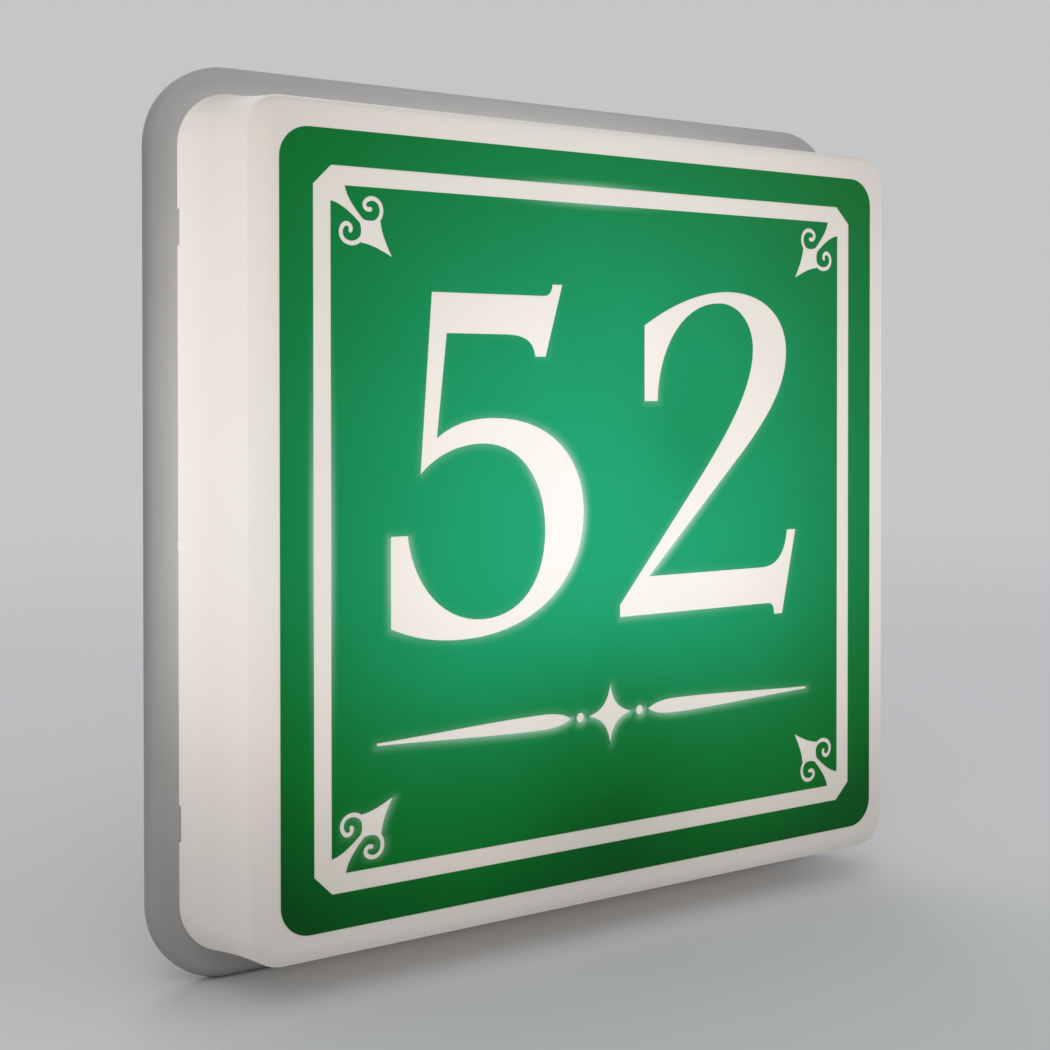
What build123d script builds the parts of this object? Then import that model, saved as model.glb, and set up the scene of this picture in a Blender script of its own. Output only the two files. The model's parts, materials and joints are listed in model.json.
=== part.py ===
"""Illuminated house number sign: a square wall lamp whose opal cover carries a cut green film.

The wall is the plane y = 0 and the lamp stands out of it towards -Y. Z is up, X is to the right for
someone who faces the sign, and the origin is the middle of the base's back. A depth, named ..._d, is
measured out from the wall, and a half-width, named ..._half, from the middle of the lamp.
"""

import os
from math import asin, copysign, cos, degrees, hypot, radians, sin, sqrt

from build123d import *

# ---------------------------------------------------------------- base housing
base_side = 240.0
base_corner_r = 22.0
base_depth = 15.0
base_wall = 2.5
flange_t = 2.5
flange_band = 7.5
flange_lip = 5.0
flange_edge_r = 3.0
floor_t = 2.5
spigot_height = 6.0
spigot_t = 2.0
spigot_clearance = 0.7
groove_clearance = 0.4
groove_depth = 3.5
rear_rib_height = 2.0
rear_rib_t = 2.0
rear_cells = 4
rear_cell_corner_r = 3.0
rear_pad_r = 9.0
rear_pad_margin = 1.0
gusset_t = 1.5
gusset_pitch = 40.0
gussets_per_side = 5

# ---------------------------------------------------------------- diffuser cover
cover_depth = 35.0
cover_flare = 5.0
cover_wall = 2.2
cover_edge_r = 4.5
cover_side_bow = 0.6
cover_seat_gap = 0.3
tongue_t = 1.2
tongue_height = 1.5
tongue_root = 0.5
pry_notch_length = 9.5
pry_notch_depth = 0.9
gate_nib_z = 5.0
gate_nib_length = 2.0
gate_nib_height = 0.4
gate_nib_depth = 1.2

# ---------------------------------------------------------------- snap fit of the cover
snap_offset = 77.0
snap_length = 8.0
snap_hook_d = 18.4
snap_hook_height = 2.4
snap_hook_clearance = 0.3
snap_hook_ramps = (0.25, 0.5)
snap_slit = 1.2
snap_ridge_d = 16.0
snap_ridge_height = 1.6
snap_ridge_ramp = 0.3
snap_pass_clearance = 0.25

# ---------------------------------------------------------------- green film
film_margin = 7.5
film_corner_r = 8.0
film_t = 0.25
line_inset = 9.0
line_chamfer = 5.0
line_width = 4.9

# Corner flourish, in a frame that runs inwards along the diagonal from the white line's inner corner:
# u along the diagonal, v across it.
stem_root = 2.8
stem_bend = (5.5, 0.9)
neck_u = 12.0
neck_half = 0.7
throat = (13.65, 1.75)
shoulder = (15.9, 4.0)
leaf_bend = (18.2, 1.9)
leaf_tip_u = 24.6
curl_width = 1.2
curl_centre = (12.0, 4.4)
curl_radii = (3.5, 2.6, 1.2)
curl_angles = (-12.0, 70.0, 180.0, 340.0)

# ---------------------------------------------------------------- gasket
gasket_t = 2.0
gasket_side_clearance = 0.05

# ---------------------------------------------------------------- wall fixing and cable entry
wall_slot_length = 9.0
wall_slot_width = 5.0
wall_slot_x = 82.0
wall_slot_z = 50.0
wall_slot_collar_t = 1.6
wall_slot_collar_height = 3.0
wall_slot_pad = 5.0
entry_x = -42.0
entry_z = -45.0
entry_hole_r = 8.0
entry_pad_r = 15.0
grommet_bore_r = 4.25
grommet_flange_r = 10.5
grommet_flange_t = 1.6
grommet_nose_r = 6.0
grommet_nose_height = 6.0
grommet_nose_taper = 1.5
grommet_clearance = 0.1
grommet_recess_clearance = 1.0

# ---------------------------------------------------------------- cord clamp
clamp_x = -12.0
clamp_width = 9.0
clamp_screw_spacing = 24.0
clamp_seat_height = 4.5
clamp_t = 2.6
clamp_bore_r = 4.4
clamp_ear_r = 5.0
clamp_post_r = 4.0
anvil_t = 1.5
anvil_height = 1.3
anvil_length = 12.0
anvil_spacing = 5.0

# ---------------------------------------------------------------- terminal block
terminal_x = 37.0
terminal_z = -45.0
terminal_length = 22.0
terminal_pitch = 12.0
terminal_poles = 3
terminal_seat_height = 2.0
terminal_barrel_r = 3.6
terminal_chimney_r = 3.0
terminal_height = 13.5
terminal_web_t = 3.0
terminal_web_width = 15.4
terminal_post_r = 3.4
contact_r = 2.5
contact_bore_r = 1.5
contact_length = 18.0
contact_clearance = 0.05
terminal_screw_offset = 5.0
terminal_screw_r = 1.4
terminal_screw_length = 4.0
terminal_slot_width = 0.56
terminal_slot_depth = 0.8
terminal_entry_depth = 7.5

# ---------------------------------------------------------------- LED driver
driver_z = 45.0
driver_length = 104.0
driver_width = 40.0
driver_height = 15.0
driver_corner_r = 3.0
driver_lid_t = 1.5
driver_lid_step = 1.0
driver_lid_chamfer = 0.6
driver_lug_length = 11.0
driver_lug_width = 11.0
driver_lug_t = 2.5
driver_lug_root = 2.0
driver_lug_corner_r = 2.0
driver_lug_offset = 13.0
driver_rib_pitch = 8.0
driver_ribs = 9
driver_rib_t = 1.2
driver_rib_height = 0.8

# ---------------------------------------------------------------- reflector tray
tray_d = 25.5
tray_t = 0.8
tray_return = 6.0
tray_bend_r = 1.6
tray_corner_r = 8.0
tray_clearance = 6.0
tray_screw_inset = 16.4
tray_post_r = 4.0
tray_post_rib_t = 1.6
tray_post_rib_drop = 8.5

# ---------------------------------------------------------------- light source
board_side = 118.0
board_t = 1.6
board_corner_r = 4.0
board_screw_inset = 7.0
chip_length = 3.5
chip_width = 2.8
chip_t = 0.8
chip_margin = 14.0
chip_rows = 6
connector_length = 10.0
connector_width = 8.0
connector_height = 4.5
connector_inset = 2.0
connector_chamfer = 0.4
connector_entry_depth = 4.0
connector_slot_length = 3.0
connector_slot_width = 1.4
connector_slot_depth = 1.5
connector_slot_offset = 1.0
bush_gap = 1.4
bush_hole_r = 4.0
bush_flange_r = 5.6
bush_flange_t = 1.4
bush_flange_taper = 0.6
bush_bore_r = 2.7

# ---------------------------------------------------------------- earth bond on the tray
earth_z = -8.0
earth_screw_r = 2.0
earth_screw_length = 7.0
earth_nut_width = 7.0
earth_nut_t = 3.2
earth_tag_r = 4.0
earth_tag_t = 0.8
earth_tag_neck = 3.2
earth_barrel_r = 1.9
earth_barrel_length = 6.0
earth_barrel_gap = 1.0
earth_neck_root = 1.0

# ---------------------------------------------------------------- internal leads
mains_lead_r = 1.1
mains_bend_r = 5.0
mains_run_gap = 10.0
mains_run_spacing = 5.0
earth_climb_z = -32.0
driver_input_spacing = 10.0
led_lead_r = 0.8
led_bend_r = 4.0
led_lead_spacing = 2.5
led_lead_upper_d = 12.5
led_lead_lower_d = 9.0
driver_output_spacing = 4.0
lead_clearance = 0.1

# ---------------------------------------------------------------- screws
tray_screw_r = 1.45
tray_screw_length = 12.0
board_screw_r = 1.45
board_screw_length = 5.0
small_screw_r = 1.25
driver_screw_length = 6.0
clamp_screw_length = 7.0
fixing_screw_r = 1.1
fixing_screw_length = 7.0
pilot_clearance = 0.05
hole_clearance = 0.25
head_ratio = 2.0
head_height_ratio = 1.3
head_rim_ratio = 0.5
head_crown_ratio = 0.72
recess_length_ratio = 1.1
recess_width_ratio = 0.35
recess_depth_ratio = 0.6
tip_ratio = 0.7
pilot_run = 0.3

# How far a cutting shape runs past the face it cuts through.
overrun = 1.0

# ================================================================ worked-out places
corner = base_side / 2 - base_corner_r
flange_half = base_side / 2
rim_half = flange_half - flange_band
face_half = rim_half - cover_flare
film_side = 2 * (face_half - film_margin)
line_side = film_side - 2 * line_inset
seat_d = base_depth + cover_seat_gap
face_d = base_depth + cover_depth
film_front_d = face_d + film_t
floor_d = floor_t + rear_rib_height
spigot_top_d = base_depth + spigot_height
groove_floor_d = base_depth - groove_depth

# The cover's side is a shallow hollow arc from its rim to its face. The arc's centre lies outside.
side_rise = face_d - seat_d
side_flare = rim_half - face_half
side_chord = hypot(side_rise, side_flare)
bow_r = (side_chord**2 / 4 + cover_side_bow**2) / (2 * cover_side_bow)
bow_x = (rim_half + face_half) / 2 + (bow_r - cover_side_bow) * side_rise / side_chord
bow_y = -(seat_d + face_d) / 2 - (bow_r - cover_side_bow) * side_flare / side_chord
edge_y = -(face_d - cover_edge_r)
edge_x = bow_x - sqrt((bow_r + cover_edge_r) ** 2 - (edge_y - bow_y) ** 2)


def cover_half(depth, inset=0.0):
    """Half-width of the cover's side at a depth, on its outside or on a surface set in from it."""
    return bow_x - sqrt((bow_r + inset) ** 2 - (-depth - bow_y) ** 2)


tongue_half = cover_half(seat_d, cover_wall)
groove_in_half = tongue_half - groove_clearance
groove_out_half = tongue_half + tongue_t + groove_clearance
spigot_half = cover_half(spigot_top_d, cover_wall) - spigot_clearance
hook_front_d = snap_hook_d + snap_hook_height
hook_tip_half = cover_half(hook_front_d, cover_wall) - snap_hook_clearance
well_half = spigot_half - spigot_t
body_half = well_half + base_wall
lip_in_half = flange_half - base_wall
flange_back_d = base_depth - flange_t

tray_half = well_half - tray_clearance
tray_back_d = tray_d - tray_t
tray_screw_at = tray_half - tray_screw_inset
board_half = board_side / 2
board_front_d = tray_d + board_t
board_screw_at = board_half - board_screw_inset

driver_half = driver_length / 2
driver_lid_d = floor_d + driver_height
driver_lug_x = driver_half + driver_lug_length / 2
terminal_seat_d = floor_d + terminal_seat_height
barrel_d = terminal_seat_d + terminal_barrel_r
terminal_half = terminal_length / 2
clamp_seat_d = floor_d + clamp_seat_height
chip_pitch = (board_side - 2 * chip_margin) / (chip_rows - 1)
bush_x = -(board_half + bush_gap + bush_flange_r)
live_lead_x = driver_half + mains_run_gap
neutral_lead_x = live_lead_x + mains_run_spacing
earth_x = neutral_lead_x + mains_run_spacing
connector_x = -board_half + connector_inset + connector_length / 2
connector_d = board_front_d + connector_height / 2
earth_barrel_d = tray_back_d - earth_barrel_r
earth_barrel_z = earth_z - earth_tag_r - earth_barrel_gap


# ================================================================ shared shapes
def plate(outline, back_d, front_d):
    """A flat shape in X and Z, made solid from one depth to another."""
    return Pos(0, -back_d, 0) * extrude(Plane.XZ * outline, amount=front_d - back_d)


def square(side, corner_r):
    """A square with rounded corners."""
    return RectangleRounded(side, side, corner_r)


def post(x, z, radius, back_d, front_d):
    """A round post along the depth."""
    return plate(Pos(x, z) * Circle(radius), back_d, front_d)


def carried_round(section, centre):
    """Carries a section, drawn at x = half-width and y = -depth, along four sides and four corners.

    The corners turn about axes that stand at the given distance from the middle.
    """
    side = Pos(0, 0, -centre) * extrude(section, amount=2 * centre)
    turn = revolve(Pos(0, 0, centre) * section, Axis((centre, 0, centre), (0, -1, 0)), 90)
    quarter = side + turn
    ring = quarter
    for step in (1, 2, 3):
        ring += Rot(0, 90 * step, 0) * quarter
    return ring


def on_four_sides(shape):
    """The same shape on the right-hand, upper, left-hand and lower side."""
    return [Rot(0, 90 * step, 0) * shape for step in range(4)]


def along_side(section, middle_z, length):
    """A section, drawn at x = half-width and y = -depth, made solid along the right-hand side."""
    return Pos(0, 0, middle_z - length / 2) * extrude(section, amount=length)


def turned(points, x, z):
    """A shape turned about an axis along the depth, from points of radius and depth."""
    outline = Polygon(*[(radius, -depth) for radius, depth in points], align=None)
    return Pos(x, 0, z) * revolve(outline, Axis.Y, 360)


def pan_screw(x, z, seat, thread_r, length):
    """A pan-head screw whose head sits on the front of a seat and whose shank runs to the wall."""
    head_r = head_ratio * thread_r
    head_t = head_height_ratio * thread_r
    profile = [
        (0, seat - length),
        (tip_ratio * thread_r, seat - length),
        (thread_r, seat - length + thread_r),
        (thread_r, seat),
        (head_r, seat),
        (head_r, seat + head_rim_ratio * head_t),
        (head_crown_ratio * head_r, seat + head_t),
        (0, seat + head_t),
    ]
    screw = turned(profile, x, z)
    recess = Rectangle(2 * recess_width_ratio * thread_r, 2 * recess_length_ratio * thread_r)
    recess += Rot(0, 0, 90) * recess
    front_d = seat + head_t
    recess_d = front_d - recess_depth_ratio * thread_r
    return screw - plate(Pos(x, z) * recess, recess_d, front_d + overrun)


def lead(points, radius, bend_r):
    """An insulated lead through points of x, z and depth, with rounded turns."""
    path = FilletPolyline(*[(x, -depth, z) for x, z, depth in points], radius=bend_r)
    return sweep(Plane(path @ 0, z_dir=path % 0) * Circle(radius), path=path)


# ================================================================ diffuser cover
def cover_section(inset, rear_d):
    """Half-section of the solid that the cover's outside, or a surface set in from it, bounds."""
    radius = bow_r + inset
    rear_angle = 180 - degrees(asin((-rear_d - bow_y) / radius))
    edge_angle = 180 - degrees(asin((edge_y - bow_y) / (bow_r + cover_edge_r)))
    side = CenterArc((bow_x, bow_y), radius, rear_angle, edge_angle - rear_angle)
    edge = CenterArc((edge_x, edge_y), cover_edge_r - inset, edge_angle - 180, 90 - edge_angle)
    rest = Polyline(edge @ 1, (corner, -(face_d - inset)), (corner, -rear_d), side @ 0)
    return make_face(side + edge + rest)


def cover_block(inset, rear_d):
    """The solid that the cover's outside, or a surface set in from it, bounds."""
    middle = plate(Rectangle(2 * corner, 2 * corner), rear_d, face_d - inset)
    return carried_round(cover_section(inset, rear_d), corner) + middle


def side_block(in_half, out_half, back_d, front_d):
    """A rectangle for the side sections."""
    width = out_half - in_half
    height = front_d - back_d
    return Pos((in_half + out_half) / 2, -(back_d + front_d) / 2) * Rectangle(width, height)


def make_diffuser_cover():
    """The opal shell, with its sealing tongue, snap ridges and pry notches."""
    cover = cover_block(0, seat_d) - cover_block(cover_wall, seat_d - overrun)
    tongue_out = tongue_half + tongue_t
    tongue = side_block(tongue_half, tongue_out, seat_d - tongue_height, seat_d + tongue_root)
    cover += carried_round(tongue, corner)

    ridge_front_d = snap_ridge_d + snap_ridge_height
    ridge_tip = hook_tip_half + snap_pass_clearance
    ridge_root = cover_half(snap_ridge_d, cover_wall / 2)
    ridge = Polygon(
        (ridge_root, -snap_ridge_d),
        (ridge_tip, -(snap_ridge_d + snap_ridge_ramp * snap_ridge_height)),
        (ridge_tip, -(ridge_front_d - snap_ridge_ramp * snap_ridge_height)),
        (ridge_root, -ridge_front_d),
        align=None,
    )
    notch_d = seat_d + pry_notch_depth
    notch = side_block(tongue_out, rim_half + overrun, seat_d - overrun, notch_d)
    for z in (-snap_offset, snap_offset):
        cover += on_four_sides(along_side(ridge, z, snap_length))
        cover -= on_four_sides(along_side(notch, z, pry_notch_length))

    nib_out = cover_half(seat_d + gate_nib_depth) + gate_nib_height
    nib = side_block(rim_half - cover_wall / 2, nib_out, seat_d, seat_d + gate_nib_depth)
    cover += Rot(0, 180, 0) * along_side(nib, gate_nib_z, gate_nib_length)
    return cover


# ================================================================ film
def unit(angle):
    """Unit vector at an angle in degrees."""
    return Vector(cos(radians(angle)), sin(radians(angle)))


def arc_strip(centre, radius, start, sweep_angle):
    """A strip of the curl's width that follows an arc."""
    outer = CenterArc(centre, radius + curl_width / 2, start, sweep_angle)
    inner = CenterArc(centre, radius - curl_width / 2, start, sweep_angle)
    return make_face(outer + inner + Line(outer @ 0, inner @ 0) + Line(outer @ 1, inner @ 1))


def curl():
    """One volute: three arcs of falling radius that run into each other, with a round end."""
    centre = Vector(*curl_centre)
    centre -= (curl_radii[0] - curl_radii[1]) * unit(curl_angles[1])
    strip = Sketch()
    for step, radius in enumerate(curl_radii):
        start = curl_angles[step]
        end = curl_angles[step + 1]
        strip += arc_strip((centre.X, centre.Y), radius, start, end - start)
        tip = centre + radius * unit(end)
        if step + 1 < len(curl_radii):
            centre += (radius - curl_radii[step + 1]) * unit(end)
    return strip + Pos(tip.X, tip.Y) * Circle(curl_width / 2)


def flourish():
    """Stem, leaf and two volutes, along the +X axis from the white line's corner."""
    stem = Bezier((stem_root, stem_root), stem_bend, (neck_u, neck_half))
    curl_start = Vector(*curl_centre) - (curl_radii[0] - curl_radii[1]) * unit(curl_angles[1])
    curl_start += (curl_radii[0] - curl_width / 2) * unit(curl_angles[0])
    throat_arc = ThreePointArc((neck_u, neck_half), throat, (curl_start.X, curl_start.Y))
    leaf = Bezier(shoulder, leaf_bend, (leaf_tip_u, 0))
    rest = Line(throat_arc @ 1, shoulder)
    rest += Polyline(leaf @ 1, (-overrun, 0), (-overrun, stem_root), stem @ 0)
    half = make_face(stem + throat_arc + leaf + rest) + curl()
    return half + mirror(half, Plane.XZ)


def line_outline():
    """Outer edge of the white line: a square with cut corners."""
    return chamfer(Rectangle(line_side, line_side).vertices(), line_chamfer)


def make_film_border():
    """The outer ring of film."""
    return plate(square(film_side, film_corner_r) - line_outline(), face_d, film_front_d)


def make_film_panel():
    """The inner square of film with its four corner flourishes cut out."""
    side = line_side - 2 * line_width
    panel = Rectangle(side, side)
    cut_out = Pos(-side / 2, side / 2) * Rot(0, 0, -45) * flourish()
    for step in range(4):
        panel -= Rot(0, 0, 90 * step) * cut_out
    return plate(panel, face_d, film_front_d)


# ================================================================ base housing
def base_section():
    """Section of the base's rim: well wall, spigot, gasket groove, flange and lip."""
    channel_half = groove_out_half + base_wall
    channel_back_d = groove_floor_d - base_wall
    back = Polyline(
        (well_half, 0),
        (body_half, 0),
        (body_half, -channel_back_d),
        (channel_half, -channel_back_d),
        (channel_half, -flange_back_d),
        (lip_in_half, -flange_back_d),
        (lip_in_half, -(base_depth - flange_lip)),
        (flange_half, -(base_depth - flange_lip)),
        (flange_half, -(base_depth - flange_edge_r)),
    )
    edge = CenterArc(
        (flange_half - flange_edge_r, -(base_depth - flange_edge_r)), flange_edge_r, 0, -90
    )
    front = Polyline(
        (flange_half - flange_edge_r, -base_depth),
        (groove_out_half, -base_depth),
        (groove_out_half, -groove_floor_d),
        (groove_in_half, -groove_floor_d),
        (groove_in_half, -base_depth),
        (spigot_half, -base_depth),
        (spigot_half, -spigot_top_d),
        (well_half, -spigot_top_d),
        (well_half, 0),
    )
    return make_face(back + edge + front)


def snap_hook():
    """Section of one snap hook on the outside of the spigot."""
    root = spigot_half - spigot_t / 4
    tip_back_d, tip_front_d = [snap_hook_d + ramp * snap_hook_height for ramp in snap_hook_ramps]
    return Polygon(
        (root, -snap_hook_d),
        (hook_tip_half, -tip_back_d),
        (hook_tip_half, -tip_front_d),
        (root, -hook_front_d),
        align=None,
    )


def rear_gusset():
    """Section of one gusset between the well wall and the lip, behind the flange."""
    channel_middle_d = groove_floor_d - base_wall / 2
    flange_middle_d = base_depth - flange_t / 2
    return Polygon(
        (body_half - base_wall / 2, -floor_t),
        (body_half - base_wall / 2, -channel_middle_d),
        (groove_out_half + base_wall / 2, -channel_middle_d),
        (groove_out_half + base_wall / 2, -flange_middle_d),
        (lip_in_half + base_wall / 2, -flange_middle_d),
        (lip_in_half, -(base_depth - flange_lip)),
        (body_half, -floor_t),
        align=None,
    )


def mirrored(x, z):
    """The four places that mirror one another left to right and top to bottom."""
    return [(x, z), (-x, z), (x, -z), (-x, -z)]


tray_screws_at = mirrored(tray_screw_at, tray_screw_at)
board_screws_at = mirrored(board_screw_at, board_screw_at)
wall_slots_at = mirrored(wall_slot_x, wall_slot_z)
driver_screws_at = [
    (-driver_lug_x, driver_z - driver_lug_offset),
    (driver_lug_x, driver_z + driver_lug_offset),
]
clamp_screws_at = [(clamp_x, entry_z + side * clamp_screw_spacing / 2) for side in (-1, 1)]
pole_rows = [
    terminal_z + (row - (terminal_poles - 1) / 2) * terminal_pitch for row in range(terminal_poles)
]
fixing_screws_at = [(terminal_x, (low + high) / 2) for low, high in zip(pole_rows, pole_rows[1:])]


def rear_pockets():
    """The pockets between the ribs of the back, clear of every pad that needs the full floor."""
    pitch = 2 * (well_half - base_wall / 2) / rear_cells
    cell = square(pitch - rear_rib_t, rear_cell_corner_r)
    pockets = Sketch() + [place * cell for place in GridLocations(pitch, pitch, rear_cells, rear_cells)]
    pads = Circle(rear_pad_r)
    pads += Pos(entry_x, entry_z) * Circle(entry_pad_r)
    slot_pad = SlotOverall(wall_slot_length + 2 * wall_slot_pad, wall_slot_width + 2 * wall_slot_pad)
    for x, z in wall_slots_at:
        pads += Pos(x, z) * slot_pad
    for x, z in tray_screws_at + driver_screws_at + clamp_screws_at + fixing_screws_at:
        pads += Pos(x, z) * Circle(clamp_post_r + rear_pad_margin)
    return pockets - pads


def make_base_housing():
    """The moulded tray that is screwed to the wall and carries everything else."""
    floor_half = well_half + base_wall / 2
    base = carried_round(base_section(), corner)
    base += plate(square(2 * floor_half, floor_half - corner), 0, floor_d)
    base -= plate(rear_pockets(), 0, rear_rib_height)

    gusset = rear_gusset()
    for step in range(gussets_per_side):
        z = (step - (gussets_per_side - 1) / 2) * gusset_pitch
        base += on_four_sides(along_side(gusset, z, gusset_t))

    slit = side_block(well_half - overrun, spigot_half + overrun, base_depth, spigot_top_d + overrun)
    for z in (-snap_offset, snap_offset):
        base += on_four_sides(along_side(snap_hook(), z, snap_length))
        for side in (-1, 1):
            slit_z = z + side * (snap_length + snap_slit) / 2
            base -= on_four_sides(along_side(slit, slit_z, snap_slit))

    fin_top_d = tray_back_d - tray_post_rib_drop
    fin_length = well_half + base_wall / 2 - tray_screw_at
    fin = Pos(tray_screw_at + fin_length / 2, tray_screw_at) * Rectangle(fin_length, tray_post_rib_t)
    fins = fin + Pos(tray_screw_at, tray_screw_at + fin_length / 2) * Rectangle(
        tray_post_rib_t, fin_length
    )
    for step in range(4):
        base += Rot(0, 90 * step, 0) * plate(fins, floor_d, fin_top_d)
    tray_tip_d = tray_d - tray_screw_length - pilot_run
    for x, z in tray_screws_at:
        base += post(x, z, tray_post_r, floor_d, tray_back_d)
        base -= post(x, z, tray_screw_r + pilot_clearance, tray_tip_d, tray_back_d)

    for x, z in wall_slots_at:
        slot = SlotOverall(wall_slot_length, wall_slot_width)
        collar = SlotOverall(
            wall_slot_length + 2 * wall_slot_collar_t, wall_slot_width + 2 * wall_slot_collar_t
        )
        base += plate(Pos(x, z) * collar, floor_d, floor_d + wall_slot_collar_height)
        base -= plate(Pos(x, z) * slot, 0, floor_d + wall_slot_collar_height)

    base -= post(entry_x, entry_z, entry_hole_r, 0, floor_d)
    recess_r = grommet_flange_r + grommet_recess_clearance
    base -= post(entry_x, entry_z, recess_r, 0, rear_rib_height)

    pilot_r = small_screw_r + pilot_clearance
    clamp_tip_d = clamp_seat_d + clamp_t - clamp_screw_length - pilot_run
    for x, z in clamp_screws_at:
        base += post(x, z, clamp_post_r, floor_d, clamp_seat_d)
        base -= post(x, z, pilot_r, clamp_tip_d, clamp_seat_d)
    for side in (-1, 1):
        anvil = Rectangle(anvil_t, anvil_length)
        place = Pos(clamp_x + side * anvil_spacing / 2, entry_z)
        base += plate(place * anvil, floor_d, floor_d + anvil_height)

    fixing_tip_d = terminal_seat_d + terminal_web_t - fixing_screw_length - pilot_run
    for x, z in fixing_screws_at:
        base += post(x, z, terminal_post_r, floor_d, terminal_seat_d)
        base -= post(x, z, fixing_screw_r + pilot_clearance, fixing_tip_d, terminal_seat_d)

    driver_tip_d = floor_d + driver_lug_t - driver_screw_length - pilot_run
    for x, z in driver_screws_at:
        base -= post(x, z, pilot_r, driver_tip_d, floor_d)
    return base


def make_base_gasket():
    """A D-section sealing cord in the groove under the cover's tongue."""
    in_half = groove_in_half + gasket_side_clearance
    out_half = groove_out_half - gasket_side_clearance
    round_r = (out_half - in_half) / 2
    round_y = -(groove_floor_d + gasket_t - round_r)
    crown = CenterArc(((in_half + out_half) / 2, round_y), round_r, 0, -180)
    sides = Polyline(
        crown @ 1, (in_half, -groove_floor_d), (out_half, -groove_floor_d), crown @ 0
    )
    return carried_round(make_face(crown + sides), corner)


# ================================================================ cable entry
def make_cable_grommet():
    """The rubber entry: a flange on each side of the floor and a tapered nose inside."""
    neck_r = entry_hole_r - grommet_clearance
    back_d = rear_rib_height - grommet_flange_t
    front_d = floor_d + grommet_flange_t
    profile = [
        (grommet_bore_r, back_d),
        (grommet_flange_r, back_d),
        (grommet_flange_r, rear_rib_height),
        (neck_r, rear_rib_height),
        (neck_r, floor_d),
        (grommet_flange_r, floor_d),
        (grommet_flange_r, front_d),
        (grommet_nose_r + grommet_nose_taper, front_d),
        (grommet_nose_r, front_d + grommet_nose_height),
        (grommet_bore_r, front_d + grommet_nose_height),
    ]
    return turned(profile, entry_x, entry_z)


def make_cord_clamp():
    """The saddle over the mains cable: two ears and an arch."""
    ear_half = clamp_screw_spacing / 2 + clamp_ear_r
    arch_r = clamp_bore_r + clamp_t
    arch = Circle(arch_r) + Pos(0, clamp_t / 2) * Rectangle(2 * ear_half, clamp_t)
    arch -= Circle(clamp_bore_r)
    arch -= Pos(0, -arch_r) * Rectangle(4 * ear_half, 2 * arch_r)
    start = (clamp_x - clamp_width / 2, -clamp_seat_d, entry_z)
    saddle = Plane(origin=start, x_dir=(0, 0, 1), z_dir=(1, 0, 0))
    clamp = extrude(saddle * arch, amount=clamp_width)
    hole_r = small_screw_r + hole_clearance
    for x, z in clamp_screws_at:
        clamp -= post(x, z, hole_r, clamp_seat_d - overrun, clamp_seat_d + clamp_t + overrun)
    return clamp


# ================================================================ terminal block
def barrel(row, radius, length):
    """A round bar along X, centred on one pole of the terminal block."""
    start = Plane(origin=(terminal_x - length / 2, -barrel_d, row), z_dir=(1, 0, 0))
    return extrude(start * Circle(radius), amount=length)


def screw_places(row):
    """Where the two clamping screws of one pole stand."""
    return [(terminal_x + side * terminal_screw_offset, row) for side in (-1, 1)]


def make_terminal_block():
    """Three insulated barrels with two screw chimneys each, joined by webs with a fixing hole."""
    top_d = terminal_seat_d + terminal_height
    block = Part()
    for row in pole_rows:
        block += barrel(row, terminal_barrel_r, terminal_length)
        for x, z in screw_places(row):
            block += post(x, z, terminal_chimney_r, barrel_d, top_d)
    web_length = pole_rows[-1] - pole_rows[0]
    web = Pos(terminal_x, terminal_z) * Rectangle(terminal_web_width, web_length)
    block += plate(web, terminal_seat_d, terminal_seat_d + terminal_web_t)
    for row in pole_rows:
        block -= barrel(row, contact_r + contact_clearance, terminal_length + 2 * overrun)
        for x, z in screw_places(row):
            block -= post(x, z, terminal_screw_r + hole_clearance, barrel_d, top_d + overrun)
    hole_r = fixing_screw_r + hole_clearance
    web_d = terminal_seat_d + terminal_web_t
    for x, z in fixing_screws_at:
        block -= post(x, z, hole_r, terminal_seat_d - overrun, web_d + overrun)
    return block


def make_terminal_contacts():
    """A brass sleeve in each pole, tapped from the front for its two screws."""
    contacts = []
    for row in pole_rows:
        sleeve = barrel(row, contact_r, contact_length)
        sleeve -= barrel(row, contact_bore_r, contact_length + 2 * overrun)
        for x, z in screw_places(row):
            sleeve -= post(x, z, terminal_screw_r + pilot_clearance, barrel_d, barrel_d + 2 * contact_r)
        contacts.append(sleeve)
    return contacts


def make_terminal_screws():
    """Slotted grub screws that press on the conductors."""
    screws = []
    tip_d = barrel_d + mains_lead_r + lead_clearance
    front_d = tip_d + terminal_screw_length
    for row in pole_rows:
        for x, z in screw_places(row):
            slot = Pos(x, z) * Rectangle(3 * terminal_screw_r, terminal_slot_width)
            screw = post(x, z, terminal_screw_r, tip_d, front_d)
            screws.append(screw - plate(slot, front_d - terminal_slot_depth, front_d + overrun))
    return screws


# ================================================================ LED driver
def make_driver_case():
    """The driver's moulded case with two fixing lugs and cooling ribs along its sides."""
    outline = Pos(0, driver_z) * RectangleRounded(driver_length, driver_width, driver_corner_r)
    case = plate(outline, floor_d, driver_lid_d)
    for step in range(driver_ribs):
        x = (step - (driver_ribs - 1) / 2) * driver_rib_pitch
        rib = Rectangle(driver_rib_t, driver_width + 2 * driver_rib_height)
        case += plate(Pos(x, driver_z) * rib, floor_d, driver_lid_d - driver_lid_step)
    for x, z in driver_screws_at:
        lug_x = x - copysign(driver_lug_root / 2, x)
        length = driver_lug_length + driver_lug_root
        lug = Pos(lug_x, z) * RectangleRounded(length, driver_lug_width, driver_lug_corner_r)
        lug_d = floor_d + driver_lug_t
        case += plate(lug, floor_d, lug_d)
        case -= post(x, z, small_screw_r + hole_clearance, floor_d - overrun, lug_d + overrun)
    return case


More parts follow.
